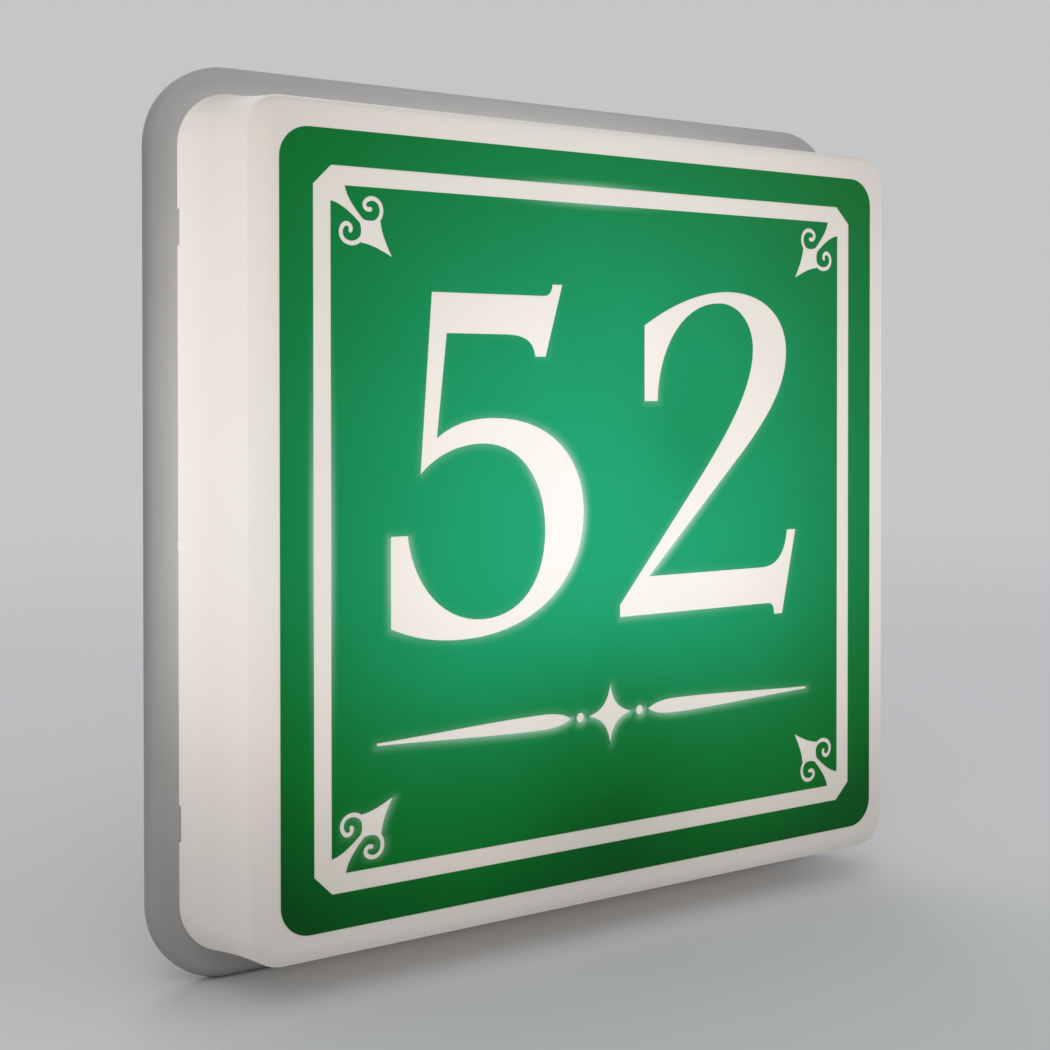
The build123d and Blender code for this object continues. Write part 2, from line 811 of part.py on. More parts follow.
def make_driver_lid():
    """The driver's flat lid, chamfered round its front."""
    length = driver_length - 2 * driver_lid_step
    width = driver_width - 2 * driver_lid_step
    outline = Pos(0, driver_z) * RectangleRounded(length, width, driver_corner_r - driver_lid_step)
    lid = plate(outline, driver_lid_d, driver_lid_d + driver_lid_t)
    return chamfer(lid.faces().sort_by(Axis.Y)[0].edges(), driver_lid_chamfer)


# ================================================================ reflector tray and light source
def make_reflector_tray():
    """The folded sheet-steel pan that hides the wiring and carries the LED board."""
    centre = tray_half - tray_corner_r
    bend_half = tray_half - tray_bend_r
    bend_y = -(tray_d - tray_bend_r)
    rear_y = -(tray_d - tray_return)
    outside = CenterArc((bend_half, bend_y), tray_bend_r, 0, -90)
    inside = CenterArc((bend_half, bend_y), tray_bend_r - tray_t, 0, -90)
    front = Polyline(outside @ 1, (centre, -tray_d), (centre, -tray_back_d), inside @ 1)
    back = Polyline(outside @ 0, (tray_half, rear_y), (tray_half - tray_t, rear_y), inside @ 0)
    tray = carried_round(make_face(outside + inside + front + back), centre)
    tray += plate(Rectangle(2 * centre, 2 * centre), tray_back_d, tray_d)
    holes = [(x, z, tray_screw_r + hole_clearance) for x, z in tray_screws_at]
    holes += [(x, z, board_screw_r + pilot_clearance) for x, z in board_screws_at]
    holes.append((bush_x, 0, bush_hole_r))
    holes.append((earth_x, earth_z, earth_screw_r + hole_clearance))
    for x, z, radius in holes:
        tray -= post(x, z, radius, tray_back_d - overrun, tray_d + overrun)
    return tray


def make_led_board():
    """The aluminium-core board."""
    outline = square(board_side, board_corner_r)
    for x, z in board_screws_at:
        outline -= Pos(x, z) * Circle(board_screw_r + hole_clearance)
    return plate(outline, tray_d, board_front_d)


def make_led_chips():
    """The square grid of LED packages."""
    chip = Rectangle(chip_length, chip_width)
    places = GridLocations(chip_pitch, chip_pitch, chip_rows, chip_rows)
    return [plate(place * chip, board_front_d, board_front_d + chip_t) for place in places]


def make_led_connector():
    """The push-in connector at the board's edge, with two lead entries and two release slots."""
    front_d = board_front_d + connector_height
    outline = Pos(connector_x, 0) * Rectangle(connector_length, connector_width)
    connector = plate(outline, board_front_d, front_d)
    connector = chamfer(connector.faces().sort_by(Axis.Y)[0].edges(), connector_chamfer)
    entry_face_x = connector_x - connector_length / 2
    for side in (-1, 1):
        z = side * led_lead_spacing / 2
        start = Plane(origin=(entry_face_x, -connector_d, z), z_dir=(1, 0, 0))
        connector -= extrude(start * Circle(led_lead_r + lead_clearance), amount=connector_entry_depth)
        slot = Rectangle(connector_slot_length, connector_slot_width)
        slot = Pos(connector_x + connector_slot_offset, z) * slot
        connector -= plate(slot, front_d - connector_slot_depth, front_d + overrun)
    return connector


def make_lead_bush():
    """The rubber bush that guards the two LED leads where they pass through the tray."""
    neck_r = bush_hole_r - lead_clearance
    back_d = tray_back_d - bush_flange_t
    front_d = tray_d + bush_flange_t
    profile = [
        (bush_bore_r, back_d),
        (bush_flange_r - bush_flange_taper, back_d),
        (bush_flange_r, tray_back_d),
        (neck_r, tray_back_d),
        (neck_r, tray_d),
        (bush_flange_r, tray_d),
        (bush_flange_r - bush_flange_taper, front_d),
        (bush_bore_r, front_d),
    ]
    return turned(profile, bush_x, 0)


# ================================================================ earth bond
def make_earth_nut():
    """The hexagon nut behind the tray."""
    front_d = tray_back_d - earth_tag_t
    outline = RegularPolygon(earth_nut_width / 2, 6, major_radius=False)
    outline -= Circle(earth_screw_r + pilot_clearance)
    return plate(Pos(earth_x, earth_z) * outline, front_d - earth_nut_t, front_d)


def make_earth_tag():
    """The ring tag under the nut, with the crimped barrel that takes the earth lead."""
    ring = Pos(earth_x, earth_z) * Circle(earth_tag_r)
    neck_end = earth_barrel_z - earth_neck_root
    neck_middle = (earth_z + neck_end) / 2
    ring += Pos(earth_x, neck_middle) * Rectangle(earth_tag_neck, earth_z - neck_end)
    ring -= Pos(earth_x, earth_z) * Circle(earth_screw_r + hole_clearance)
    tag = plate(ring, tray_back_d - earth_tag_t, tray_back_d)
    mouth = Plane(origin=(earth_x, -earth_barrel_d, earth_barrel_z), z_dir=(0, 0, -1))
    tag += extrude(mouth * Circle(earth_barrel_r), amount=earth_barrel_length)
    bore = mouth * Circle(mains_lead_r + lead_clearance)
    return tag - extrude(bore, amount=earth_barrel_length + overrun)


# ================================================================ leads
terminal_end_x = terminal_x + terminal_half - terminal_entry_depth
live_row, neutral_row, earth_row = reversed(pole_rows)
input_upper_z = driver_z - driver_corner_r + driver_input_spacing / 2
input_lower_z = input_upper_z - driver_input_spacing
earth_end_z = earth_barrel_z - lead_clearance
connector_end_x = connector_x - connector_length / 2 + connector_entry_depth - lead_clearance


def mains_lead(row, run_x, entry_z_at_driver):
    """A lead from one pole of the terminal block round to the driver's mains end."""
    route = [
        (terminal_end_x, row, barrel_d),
        (run_x, row, barrel_d),
        (run_x, entry_z_at_driver, barrel_d),
        (driver_half, entry_z_at_driver, barrel_d),
    ]
    return lead(route, mains_lead_r, mains_bend_r)


def make_earth_lead():
    """The lead from the earth pole, up and forward to the tag on the tray."""
    rise = earth_barrel_d - barrel_d
    route = [
        (terminal_end_x, earth_row, barrel_d),
        (earth_x, earth_row, barrel_d),
        (earth_x, earth_climb_z - rise / 2, barrel_d),
        (earth_x, earth_climb_z + rise / 2, earth_barrel_d),
        (earth_x, earth_end_z, earth_barrel_d),
    ]
    return lead(route, mains_lead_r, mains_bend_r)


def led_lead(side, run_d):
    """A lead from the driver's output end, through the bush in the tray, to the board's connector."""
    end_z = side * led_lead_spacing / 2
    start_z = driver_z - side * driver_output_spacing / 2
    route = [
        (-driver_half, start_z, run_d),
        (bush_x, start_z, run_d),
        (bush_x, end_z, run_d),
        (bush_x, end_z, connector_d),
        (connector_end_x, end_z, connector_d),
    ]
    return lead(route, led_lead_r, led_bend_r)


# ================================================================ the whole sign
tray_screws = [pan_screw(x, z, tray_d, tray_screw_r, tray_screw_length) for x, z in tray_screws_at]
board_screws = [
    pan_screw(x, z, board_front_d, board_screw_r, board_screw_length) for x, z in board_screws_at
]
driver_screws = [
    pan_screw(x, z, floor_d + driver_lug_t, small_screw_r, driver_screw_length)
    for x, z in driver_screws_at
]
clamp_screws = [
    pan_screw(x, z, clamp_seat_d + clamp_t, small_screw_r, clamp_screw_length)
    for x, z in clamp_screws_at
]
fixing_screws = [
    pan_screw(x, z, terminal_seat_d + terminal_web_t, fixing_screw_r, fixing_screw_length)
    for x, z in fixing_screws_at
]

pieces = {
    "base_housing": make_base_housing(),
    "base_gasket": make_base_gasket(),
    "cable_grommet": make_cable_grommet(),
    "cord_clamp": make_cord_clamp(),
    "cord_clamp_screws": clamp_screws,
    "terminal_block": make_terminal_block(),
    "terminal_contacts": make_terminal_contacts(),
    "terminal_screws": make_terminal_screws(),
    "terminal_fixing_screws": fixing_screws,
    "driver_case": make_driver_case(),
    "driver_lid": make_driver_lid(),
    "driver_screws": driver_screws,
    "reflector_tray": make_reflector_tray(),
    "tray_screws": tray_screws,
    "led_board": make_led_board(),
    "led_chips": make_led_chips(),
    "led_connector": make_led_connector(),
    "board_screws": board_screws,
    "lead_bush": make_lead_bush(),
    "earth_screw": pan_screw(earth_x, earth_z, tray_d, earth_screw_r, earth_screw_length),
    "earth_nut": make_earth_nut(),
    "earth_tag": make_earth_tag(),
    "live_lead": mains_lead(live_row, live_lead_x, input_lower_z),
    "neutral_lead": mains_lead(neutral_row, neutral_lead_x, input_upper_z),
    "earth_lead": make_earth_lead(),
    "led_positive_lead": led_lead(1, led_lead_upper_d),
    "led_negative_lead": led_lead(-1, led_lead_lower_d),
    "diffuser_cover": make_diffuser_cover(),
    "film_border": make_film_border(),
    "film_panel": make_film_panel(),
}

os.makedirs("parts", exist_ok=True)
for name, shape in pieces.items():
    solids = shape if isinstance(shape, list) else [shape]
    solids = [solid for item in solids for solid in item.solids()]
    whole = solids[0] if len(solids) == 1 else Compound(children=solids)
    export_step(whole, f"parts/{name}.step")
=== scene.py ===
import bpy
import json
from math import exp, radians, sqrt
from mathutils import Matrix, Vector
from mathutils.bvhtree import BVHTree


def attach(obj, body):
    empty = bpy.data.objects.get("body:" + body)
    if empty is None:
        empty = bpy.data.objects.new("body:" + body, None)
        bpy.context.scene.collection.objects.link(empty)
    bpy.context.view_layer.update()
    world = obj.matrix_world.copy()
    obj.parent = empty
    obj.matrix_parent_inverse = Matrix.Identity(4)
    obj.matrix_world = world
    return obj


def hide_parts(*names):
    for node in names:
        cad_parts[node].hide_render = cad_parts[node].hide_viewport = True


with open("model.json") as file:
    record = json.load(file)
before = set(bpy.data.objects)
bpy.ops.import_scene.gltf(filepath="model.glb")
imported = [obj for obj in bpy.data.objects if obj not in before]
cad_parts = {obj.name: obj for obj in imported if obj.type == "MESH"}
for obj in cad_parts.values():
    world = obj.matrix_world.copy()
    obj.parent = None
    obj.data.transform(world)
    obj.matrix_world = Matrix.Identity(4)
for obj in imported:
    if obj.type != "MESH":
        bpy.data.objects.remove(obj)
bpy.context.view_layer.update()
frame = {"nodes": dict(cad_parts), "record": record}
cadNodes = frame["nodes"]
mm = 0.001
black = (0, 0, 0, 1)
print("frame loaded,", len(cadNodes), "nodes")

scene = bpy.context.scene
scene.view_settings.view_transform = "Standard"

# camera, floor and light
cameraView = {
    "place": (-0.26912, -0.41600, 0.03446),  # metres, in the lamp's own frame
    "yaw": 33.347,                           # degrees to the right of straight on to the wall
    "pitch": -0.640,
    "roll": -0.039,
    "lens": 55.997,
    "shiftY": -0.10926,
}

studio = {
    "floorZ": -120.0 * mm,
    "floorSize": 9.0,
    "floorColour": (0.56, 0.565, 0.57, 1),
    "floorDeep": 0.98,                       # the darker tone of its slow cloud, as a share
    "floorGrain": {"grain": 500.0, "cloud": 3.0},
    "fadeFrom": 0.30,                        # metres out, where the floor starts to run into the backdrop
    "fadeTo": 1.5,
    "ambient": (0.70, 0.71, 0.73, 1),        # what lights the lamp from all round
    "backdrop": (0.56, 0.565, 0.57, 1),      # what the camera and the gloss see
    # name, place, width, height, watts, colour
    "lamps": [
        ("keyLight", (-0.9, -1.5, 1.5), 1.3, 1.1, 9.0, (1.0, 0.97, 0.93)),
        ("fillLight", (1.6, -1.2, 0.7), 1.3, 1.1, 4.5, (0.93, 0.96, 1.0)),
        ("rearLight", (0.4, 1.6, 1.3), 1.3, 0.9, 6.0, (1.0, 1.0, 1.0)),
    ],
}


def deselectAll():
    if bpy.context.mode != "OBJECT":
        bpy.ops.object.mode_set(mode="OBJECT")
    bpy.ops.object.select_all(action="DESELECT")


def selectOnly(piece):
    deselectAll()
    piece.select_set(True)
    bpy.context.view_layer.objects.active = piece


# puts a piece's place into its mesh, so that its object sits at the origin
def settle(piece):
    selectOnly(piece)
    bpy.ops.object.transform_apply(location=True, rotation=True, scale=True)


def makeCamera(view):
    data = bpy.data.cameras.new("studioCamera")
    data.sensor_width = 36.0
    data.lens = view["lens"]
    data.shift_y = view["shiftY"]
    data.clip_start, data.clip_end = 0.01, 50
    camera = bpy.data.objects.new("studioCamera", data)
    scene.collection.objects.link(camera)
    turn = Matrix.Rotation(radians(-view["yaw"]), 4, "Z")
    turn = turn @ Matrix.Rotation(radians(90 + view["pitch"]), 4, "X")
    turn = turn @ Matrix.Rotation(radians(view["roll"]), 4, "Z")
    camera.matrix_world = Matrix.Translation(view["place"]) @ turn
    scene.camera = camera


# a soft lamp that looks at the origin
def addLamp(name, place, width, height, watts, colour):
    data = bpy.data.lights.new(name, "AREA")
    data.shape, data.size, data.size_y = "RECTANGLE", width, height
    data.energy, data.color = watts, colour
    lamp = bpy.data.objects.new(name, data)
    scene.collection.objects.link(lamp)
    lamp.location = place
    lamp.rotation_euler = (-Vector(place)).to_track_quat("-Z", "Y").to_euler()


# node helpers
def feed(tree, socket, value):
    if isinstance(value, bpy.types.NodeSocket):
        tree.links.new(value, socket)
    else:
        socket.default_value = value


def addNode(tree, kind, inputs=None, **settings):
    made = tree.nodes.new(kind)
    for name, value in settings.items():
        setattr(made, name, value)
    for key, value in (inputs or {}).items():
        feed(tree, made.inputs[key], value)
    return made


def maths(tree, operation, *values, clamp=False):
    made = tree.nodes.new("ShaderNodeMath")
    made.operation, made.use_clamp = operation, clamp
    for socket, value in zip(made.inputs, values):
        feed(tree, socket, value)
    return made.outputs[0]


def product(tree, first, *others):
    for other in others:
        first = maths(tree, "MULTIPLY", first, other)
    return first


def total(tree, first, *others):
    for other in others:
        first = maths(tree, "ADD", first, other)
    return first


def minus(tree, first, second):
    return maths(tree, "SUBTRACT", first, second)


def larger(tree, first, second):
    return maths(tree, "MAXIMUM", first, second)


def isBelow(tree, value, limit):
    return maths(tree, "LESS_THAN", value, limit)


def withoutSign(tree, value):
    return maths(tree, "ABSOLUTE", value)


# 1 less a share of the mask, by which something else is dimmed
def dimmed(tree, mask, share):
    return maths(tree, "MULTIPLY_ADD", mask, -share, 1.0)


def rescale(tree, value, fromLow, fromHigh, toLow=0.0, toHigh=1.0):
    inputs = {"Value": value, "From Min": fromLow, "From Max": fromHigh, "To Min": toLow, "To Max": toHigh}
    return addNode(tree, "ShaderNodeMapRange", inputs).outputs[0]


def mixColours(tree, factor, first, second, blend="MIX"):
    made = tree.nodes.new("ShaderNodeMix")
    made.data_type, made.blend_type = "RGBA", blend
    for index, value in ((0, factor), (6, first), (7, second)):
        feed(tree, made.inputs[index], value)
    return made.outputs[2]


def greyOf(tree, value):
    return addNode(tree, "ShaderNodeCombineColor", {0: value, 1: value, 2: value}).outputs[0]


def colourRamp(tree, value, stops):
    made = addNode(tree, "ShaderNodeValToRGB", {"Fac": value})
    ramp = made.color_ramp
    while len(ramp.elements) < len(stops):
        ramp.elements.new(0.5)
    for element, (place, colour) in zip(ramp.elements, stops):
        element.position = place
        element.color = (*colour, 1)
    return made.outputs[0]


def noise(tree, point, scale, detail, roughness=0.5):
    inputs = {"Vector": point, "Scale": scale, "Detail": detail, "Roughness": roughness}
    return addNode(tree, "ShaderNodeTexNoise", inputs).outputs[0]


def cellDistance(tree, point, scale):
    return addNode(tree, "ShaderNodeTexVoronoi", {"Vector": point, "Scale": scale}).outputs["Distance"]


def objectPoint(tree):
    return addNode(tree, "ShaderNodeTexCoord").outputs["Object"]


def separated(tree, vector):
    return addNode(tree, "ShaderNodeSeparateXYZ", {0: vector}).outputs


def surface(tree):
    return addNode(tree, "ShaderNodeNewGeometry").outputs


# inputs are numbers or vectors by name, outputs are names
def newGroup(name, inputs, outputs):
    tree = bpy.data.node_groups.new(name, "ShaderNodeTree")
    for label, value in inputs.items():
        kind = "NodeSocketVector" if isinstance(value, tuple) else "NodeSocketFloat"
        made = tree.interface.new_socket(label, in_out="INPUT", socket_type=kind)
        made.default_value = value
    for label in outputs:
        tree.interface.new_socket(label, in_out="OUTPUT", socket_type="NodeSocketFloat")
    return tree, tree.nodes.new("NodeGroupInput").outputs, tree.nodes.new("NodeGroupOutput").inputs


def useGroup(tree, group, inputs=None):
    return addNode(tree, "ShaderNodeGroup", inputs, node_tree=group).outputs


def newMaterial(name, constants):
    material = bpy.data.materials.new(name)
    material.use_nodes = True
    tree = material.node_tree
    shader = next(n for n in tree.nodes if n.type == "BSDF_PRINCIPLED")
    for key, value in constants.items():
        shader.inputs[key].default_value = value
    return material, tree, shader


# the strength and the depth in metres come from the finish's own values
def bump(tree, shader, height, values):
    inputs = {"Height": height, "Strength": values["bump"], "Distance": values["relief"]}
    feed(tree, shader.inputs["Normal"], addNode(tree, "ShaderNodeBump", inputs).outputs[0])


# shared effects
lampShape = {
    "halfWidth": 124.0 * mm,     # how far the light reaches from its middle
    "reachUp": 131.5 * mm,
    "reachDown": 66.0 * mm,
    "centreAcross": -1.8 * mm,
    "centreHeight": -9.6 * mm,
    "evenLow": 0.14,             # low down it lies a little more evenly from side to side
    "evenHeights": (-25.0 * mm, -85.0 * mm),
    # duller spots of the lit face: x and z in mm, reach across and up, depth
    "dullSpots": [(0, -90, 34, 42, 0.48), (27, 22, 20, 20, 0.14)],
    "dullCorners": [(-112, -87, 26, 60, 0.55), (112, -80, 26, 60, 0.27)],
}


# a soft round patch of the face, 1 in its middle
def softSpot(tree, x, z, across, up, reachAcross, reachUp):
    offX = maths(tree, "DIVIDE", minus(tree, x, across * mm), reachAcross * mm)
    offZ = maths(tree, "DIVIDE", minus(tree, z, up * mm), reachUp * mm)
    square = total(tree, product(tree, offX, offX), product(tree, offZ, offZ))
    return maths(tree, "EXPONENT", product(tree, square, -1.0))


def makeLampGlow(shape):
    # brightness behind the face: 1 at the light source, falling towards the sides, sooner below
    tree, given, out = newGroup("lampGlow", {"Corner Dulling": 1.0}, ["Level"])
    x, _, z = separated(tree, objectPoint(tree))
    side = maths(tree, "DIVIDE", minus(tree, x, shape["centreAcross"]), shape["halfWidth"])
    rise = minus(tree, z, shape["centreHeight"])
    above = maths(tree, "DIVIDE", larger(tree, rise, 0.0), shape["reachUp"])
    below = maths(tree, "DIVIDE", maths(tree, "MINIMUM", rise, 0.0), shape["reachDown"])
    upDown = minus(tree, above, below)
    spread = dimmed(tree, rescale(tree, z, *shape["evenHeights"]), shape["evenLow"])
    fall = total(tree, product(tree, side, side, spread), product(tree, upDown, upDown))
    level = maths(tree, "EXPONENT", product(tree, fall, -1.0))
    for *place, depth in shape["dullSpots"]:
        level = product(tree, level, dimmed(tree, softSpot(tree, x, z, *place), depth))
    for *place, depth in shape["dullCorners"]:
        dull = product(tree, softSpot(tree, x, z, *place), given["Corner Dulling"])
        level = product(tree, level, dimmed(tree, dull, depth))
    feed(tree, out["Level"], level)
    return tree


# the fine, even texture of a spark-eroded mould or of calendered film, with a slow wander of tone
grainShape = {
    "detail": 3.0,
    "roughness": 0.6,
    "cellShare": 0.35,
    "cloudDetail": 4.0,
    "cloudRoughness": 0.55,
    "heightRange": (0.2, 1.1),   # what its height and its cloud run between
    "cloudRange": (0.3, 0.7),
}


def makeFineGrain(shape):
    usual = {"Grain Scale": 1500.0, "Cloud Scale": 30.0}
    tree, given, out = newGroup("fineGrain", usual, ["Height", "Cloud"])
    point = objectPoint(tree)
    grains = noise(tree, point, given["Grain Scale"], shape["detail"], shape["roughness"])
    cells = product(tree, cellDistance(tree, point, given["Grain Scale"]), shape["cellShare"])
    cloud = noise(tree, point, given["Cloud Scale"], shape["cloudDetail"], shape["cloudRoughness"])
    feed(tree, out["Height"], total(tree, grains, cells))
    feed(tree, out["Cloud"], cloud)
    return tree


# dust that lies where a surface faces up, broken up by a fine and a slow noise
dustShape = {
    "facing": (0.25, 1.0),
    "speckScale": 900.0,
    "speckDetail": 2.0,
    "speckRange": (0.42, 0.66),
    "driftScale": 45.0,
    "driftDetail": 3.0,
    "driftRange": (0.3, 0.7),
}


def makeSettledDust(shape):
    tree, given, out = newGroup("settledDust", {"Up": 0.0, "Amount": 0.3}, ["Mask"])
    point = objectPoint(tree)
    facing = rescale(tree, given["Up"], *shape["facing"])
    specks = noise(tree, point, shape["speckScale"], shape["speckDetail"])
    drifts = noise(tree, point, shape["driftScale"], shape["driftDetail"])
    specks = rescale(tree, specks, *shape["speckRange"])
    drifts = rescale(tree, drifts, *shape["driftRange"])
    lying = product(tree, facing, product(tree, specks, drifts))
    feed(tree, out["Mask"], maths(tree, "MULTIPLY", lying, given["Amount"], clamp=True))
    return tree


# fine lines along one direction, as on drawn wire, rolled sheet or turned brass
linesShape = {
    "detail": 4.0,
    "roughness": 0.7,
    "maskRange": (0.4, 0.65),
}


def makeDrawnLines(shape):
    usual = {"Stretch": (1.0, 1.0, 1.0), "Scale": 900.0}
    tree, given, out = newGroup("drawnLines", usual, ["Height", "Mask"])
    stretch = {0: objectPoint(tree), 1: given["Stretch"]}
    point = addNode(tree, "ShaderNodeVectorMath", stretch, operation="MULTIPLY").outputs[0]
    lines = noise(tree, point, given["Scale"], shape["detail"], shape["roughness"])
    feed(tree, out["Height"], lines)
    feed(tree, out["Mask"], rescale(tree, lines, *shape["maskRange"]))
    return tree


# where handling has rubbed the corners, from the surface's own sharpness
rubShape = {
    "sharpness": (0.53, 0.62),
    "patchScale": 400.0,
    "patchDetail": 3.0,
    "patchRange": (0.35, 0.6),
}


def makeEdgeRub(shape):
    tree, given, out = newGroup("edgeRub", {"Sharpness": 0.5}, ["Mask"])
    patches = noise(tree, objectPoint(tree), shape["patchScale"], shape["patchDetail"])
    patches = rescale(tree, patches, *shape["patchRange"])
    edge = rescale(tree, given["Sharpness"], *shape["sharpness"])
    feed(tree, out["Mask"], maths(tree, "MULTIPLY", edge, patches, clamp=True))
    return tree


lampGlow = makeLampGlow(lampShape)
fineGrain = makeFineGrain(grainShape)
settledDust = makeSettledDust(dustShape)
drawnLines = makeDrawnLines(linesShape)
edgeRub = makeEdgeRub(rubShape)
print("shared effects ready")


# the grain at a finish's own two scales
def useGrain(tree, values):
    return useGroup(tree, fineGrain, {"Grain Scale": values["grain"], "Cloud Scale": values["cloud"]})


def byHeight(tree, grain, low, high):
    return rescale(tree, grain["Height"], *grainShape["heightRange"], low, high)


def byCloud(tree, grain, low=0.0, high=1.0):
    return rescale(tree, grain["Cloud"], *grainShape["cloudRange"], low, high)


# two near tones of one colour, mixed by the slow cloud
def clouded(tree, grain, light, deep):
    return mixColours(tree, byCloud(tree, grain), light, deep)


# finishes
opalFinish = {
    "body": (0.335, 0.322, 0.303, 1), "bodyDeep": (0.325, 0.312, 0.293, 1), "gloss": 0.10,
    "rough": (0.36, 0.48), "grain": 2600.0, "cloud": 14.0, "bump": 0.06, "relief": 0.2 * mm,
    "dust": 0.12, "dustColour": (0.30, 0.285, 0.26, 1), "dustRough": 0.3,
    # the lit face's colours from dark to bright
    "lit": [(0.0, (0.165, 0.150, 0.137)), (0.07, (0.214, 0.196, 0.182)), (0.19, (0.320, 0.283, 0.255)),
            (0.32, (0.425, 0.380, 0.350)), (0.5, (0.492, 0.460, 0.420)), (0.65, (0.565, 0.515, 0.465)),
            (0.84, (0.690, 0.645, 0.584)), (1.0, (0.745, 0.722, 0.695))],
    "wander": 0.015, "cornerDulling": 0.50,
    # the side glows more than the face's border, most at the rim, where the tray's light gets out
    "sideTint": (1.0, 0.96, 0.91, 1),
    "edgeDepths": (-50.1 * mm, -47.0 * mm),
    "rimDepths": (-30.0 * mm, -16.5 * mm), "rimGlow": (0.85, 1.25),
    "lowHeights": (-105.0 * mm, -55.0 * mm), "lowGlow": (0.052, 0.105),
    "highHeights": (-55.0 * mm, 15.0 * mm), "highGlow": (0.0, 0.065),
    # beside the film's left edge that glow fades out over the border
    "borderWidth": (-100.0 * mm, -106.4 * mm),
    "borderHeights": (-104.0 * mm, -80.0 * mm), "borderGlow": (0.0, 0.55),
    # the board shines forwards, so what faces up glows less; what faces up also gets a painted shade, its
    # body colour darkened towards black
    "topShade": 0.34, "topFacing": (0.5, 1.0), "topPaintedShade": 0.5,
}


def makeOpal(values):
    constants = {"Specular IOR Level": values["gloss"], "Emission Strength": 1.0}
    material, tree, shader = newMaterial("opalAcrylic", constants)
    x, y, z = separated(tree, objectPoint(tree))
    grain = useGrain(tree, values)
    up = separated(tree, surface(tree)["Normal"])[2]
    level = useGroup(tree, lampGlow, {"Corner Dulling": values["cornerDulling"]})["Level"]
    wander = greyOf(tree, byCloud(tree, grain, 1 - values["wander"], 1 + values["wander"]))
    lit = mixColours(tree, 1.0, colourRamp(tree, level, values["lit"]), wander, "MULTIPLY")
    nearEdge = rescale(tree, y, *values["edgeDepths"])
    overBorder = rescale(tree, x, *values["borderWidth"])
    besideFilm = rescale(tree, z, *values["borderHeights"], *values["borderGlow"])
    besideFilm = product(tree, overBorder, besideFilm)
    atRim = rescale(tree, y, *values["rimDepths"], *values["rimGlow"])
    lowGlow = rescale(tree, z, *values["lowHeights"], *values["lowGlow"])
    highGlow = rescale(tree, z, *values["highHeights"], *values["highGlow"])
    side = product(tree, larger(tree, nearEdge, besideFilm), atRim, total(tree, lowGlow, highGlow))
    lit = mixColours(tree, 1.0, lit, mixColours(tree, side, black, values["sideTint"]), "ADD")
    topShade = rescale(tree, up, 0.0, 1.0, 0.0, values["topShade"])
    feed(tree, shader.inputs["Emission Color"], mixColours(tree, topShade, lit, black))
    dust = useGroup(tree, settledDust, {"Up": up, "Amount": values["dust"]})["Mask"]
    body = clouded(tree, grain, values["body"], values["bodyDeep"])
    # painted shade: the body colour is darkened where the surface faces up
    body = mixColours(tree, rescale(tree, up, *values["topFacing"], 0.0, values["topPaintedShade"]), body, black)
    feed(tree, shader.inputs["Base Color"], mixColours(tree, dust, body, values["dustColour"]))
    rough = total(tree, byHeight(tree, grain, *values["rough"]), product(tree, dust, values["dustRough"]))
    feed(tree, shader.inputs["Roughness"], rough)
    bump(tree, shader, grain["Height"], values)
    return material


filmFinish = {
    "body": (0.0012, 0.026, 0.0045, 1), "bodyDeep": (0.0008, 0.022, 0.0035, 1),
    "bodyClouds": (0.35, 0.65), "gloss": 0.08, "rough": (0.30, 0.44),
    "grain": 1900.0, "cloud": 55.0, "bump": 0.05, "relief": 0.2 * mm,
    "lit": [(0.0, (0.0, 0.004, 0.0)), (0.12, (0.0, 0.057, 0.007)), (0.21, (0.001, 0.103, 0.013)),
            (0.36, (0.0023, 0.141, 0.028)), (0.52, (0.0049, 0.189, 0.056)),
            (0.68, (0.0068, 0.250, 0.093)), (0.84, (0.0095, 0.317, 0.134)), (1.0, (0.0130, 0.378, 0.182))],
    "wander": 0.018,
    # the white line: half its outer and inner sides, and x + z along its cut-off corners
    "lineOuter": 91.0 * mm, "lineInner": 86.1 * mm, "cornerSum": 177.0 * mm,
    # where the white line's light spills: x and z in mm, reach across and up, strength
    "lineSpots": [(-8, 89, 17, 14, 0.40), (-90, -4, 14, 32, 0.46)],
    "spillReach": 2.3 * mm, "spillPower": 2.0, "spillColour": (0.45, 0.72, 0.58, 1),
    # light spills less where the face is dull
    "spillLevels": (0.1, 0.5), "spillShares": (0.4, 1.0),
}


# how far outside or inside the white line's strip a point of the film lies
def distanceFromLine(tree, x, z, values):
    across, up = withoutSign(tree, x), withoutSign(tree, z)
    square = larger(tree, across, up)
    corner = product(tree, minus(tree, total(tree, across, up), values["cornerSum"]), sqrt(0.5))
    outside = larger(tree, minus(tree, square, values["lineOuter"]), corner)
    return larger(tree, outside, minus(tree, values["lineInner"], square))


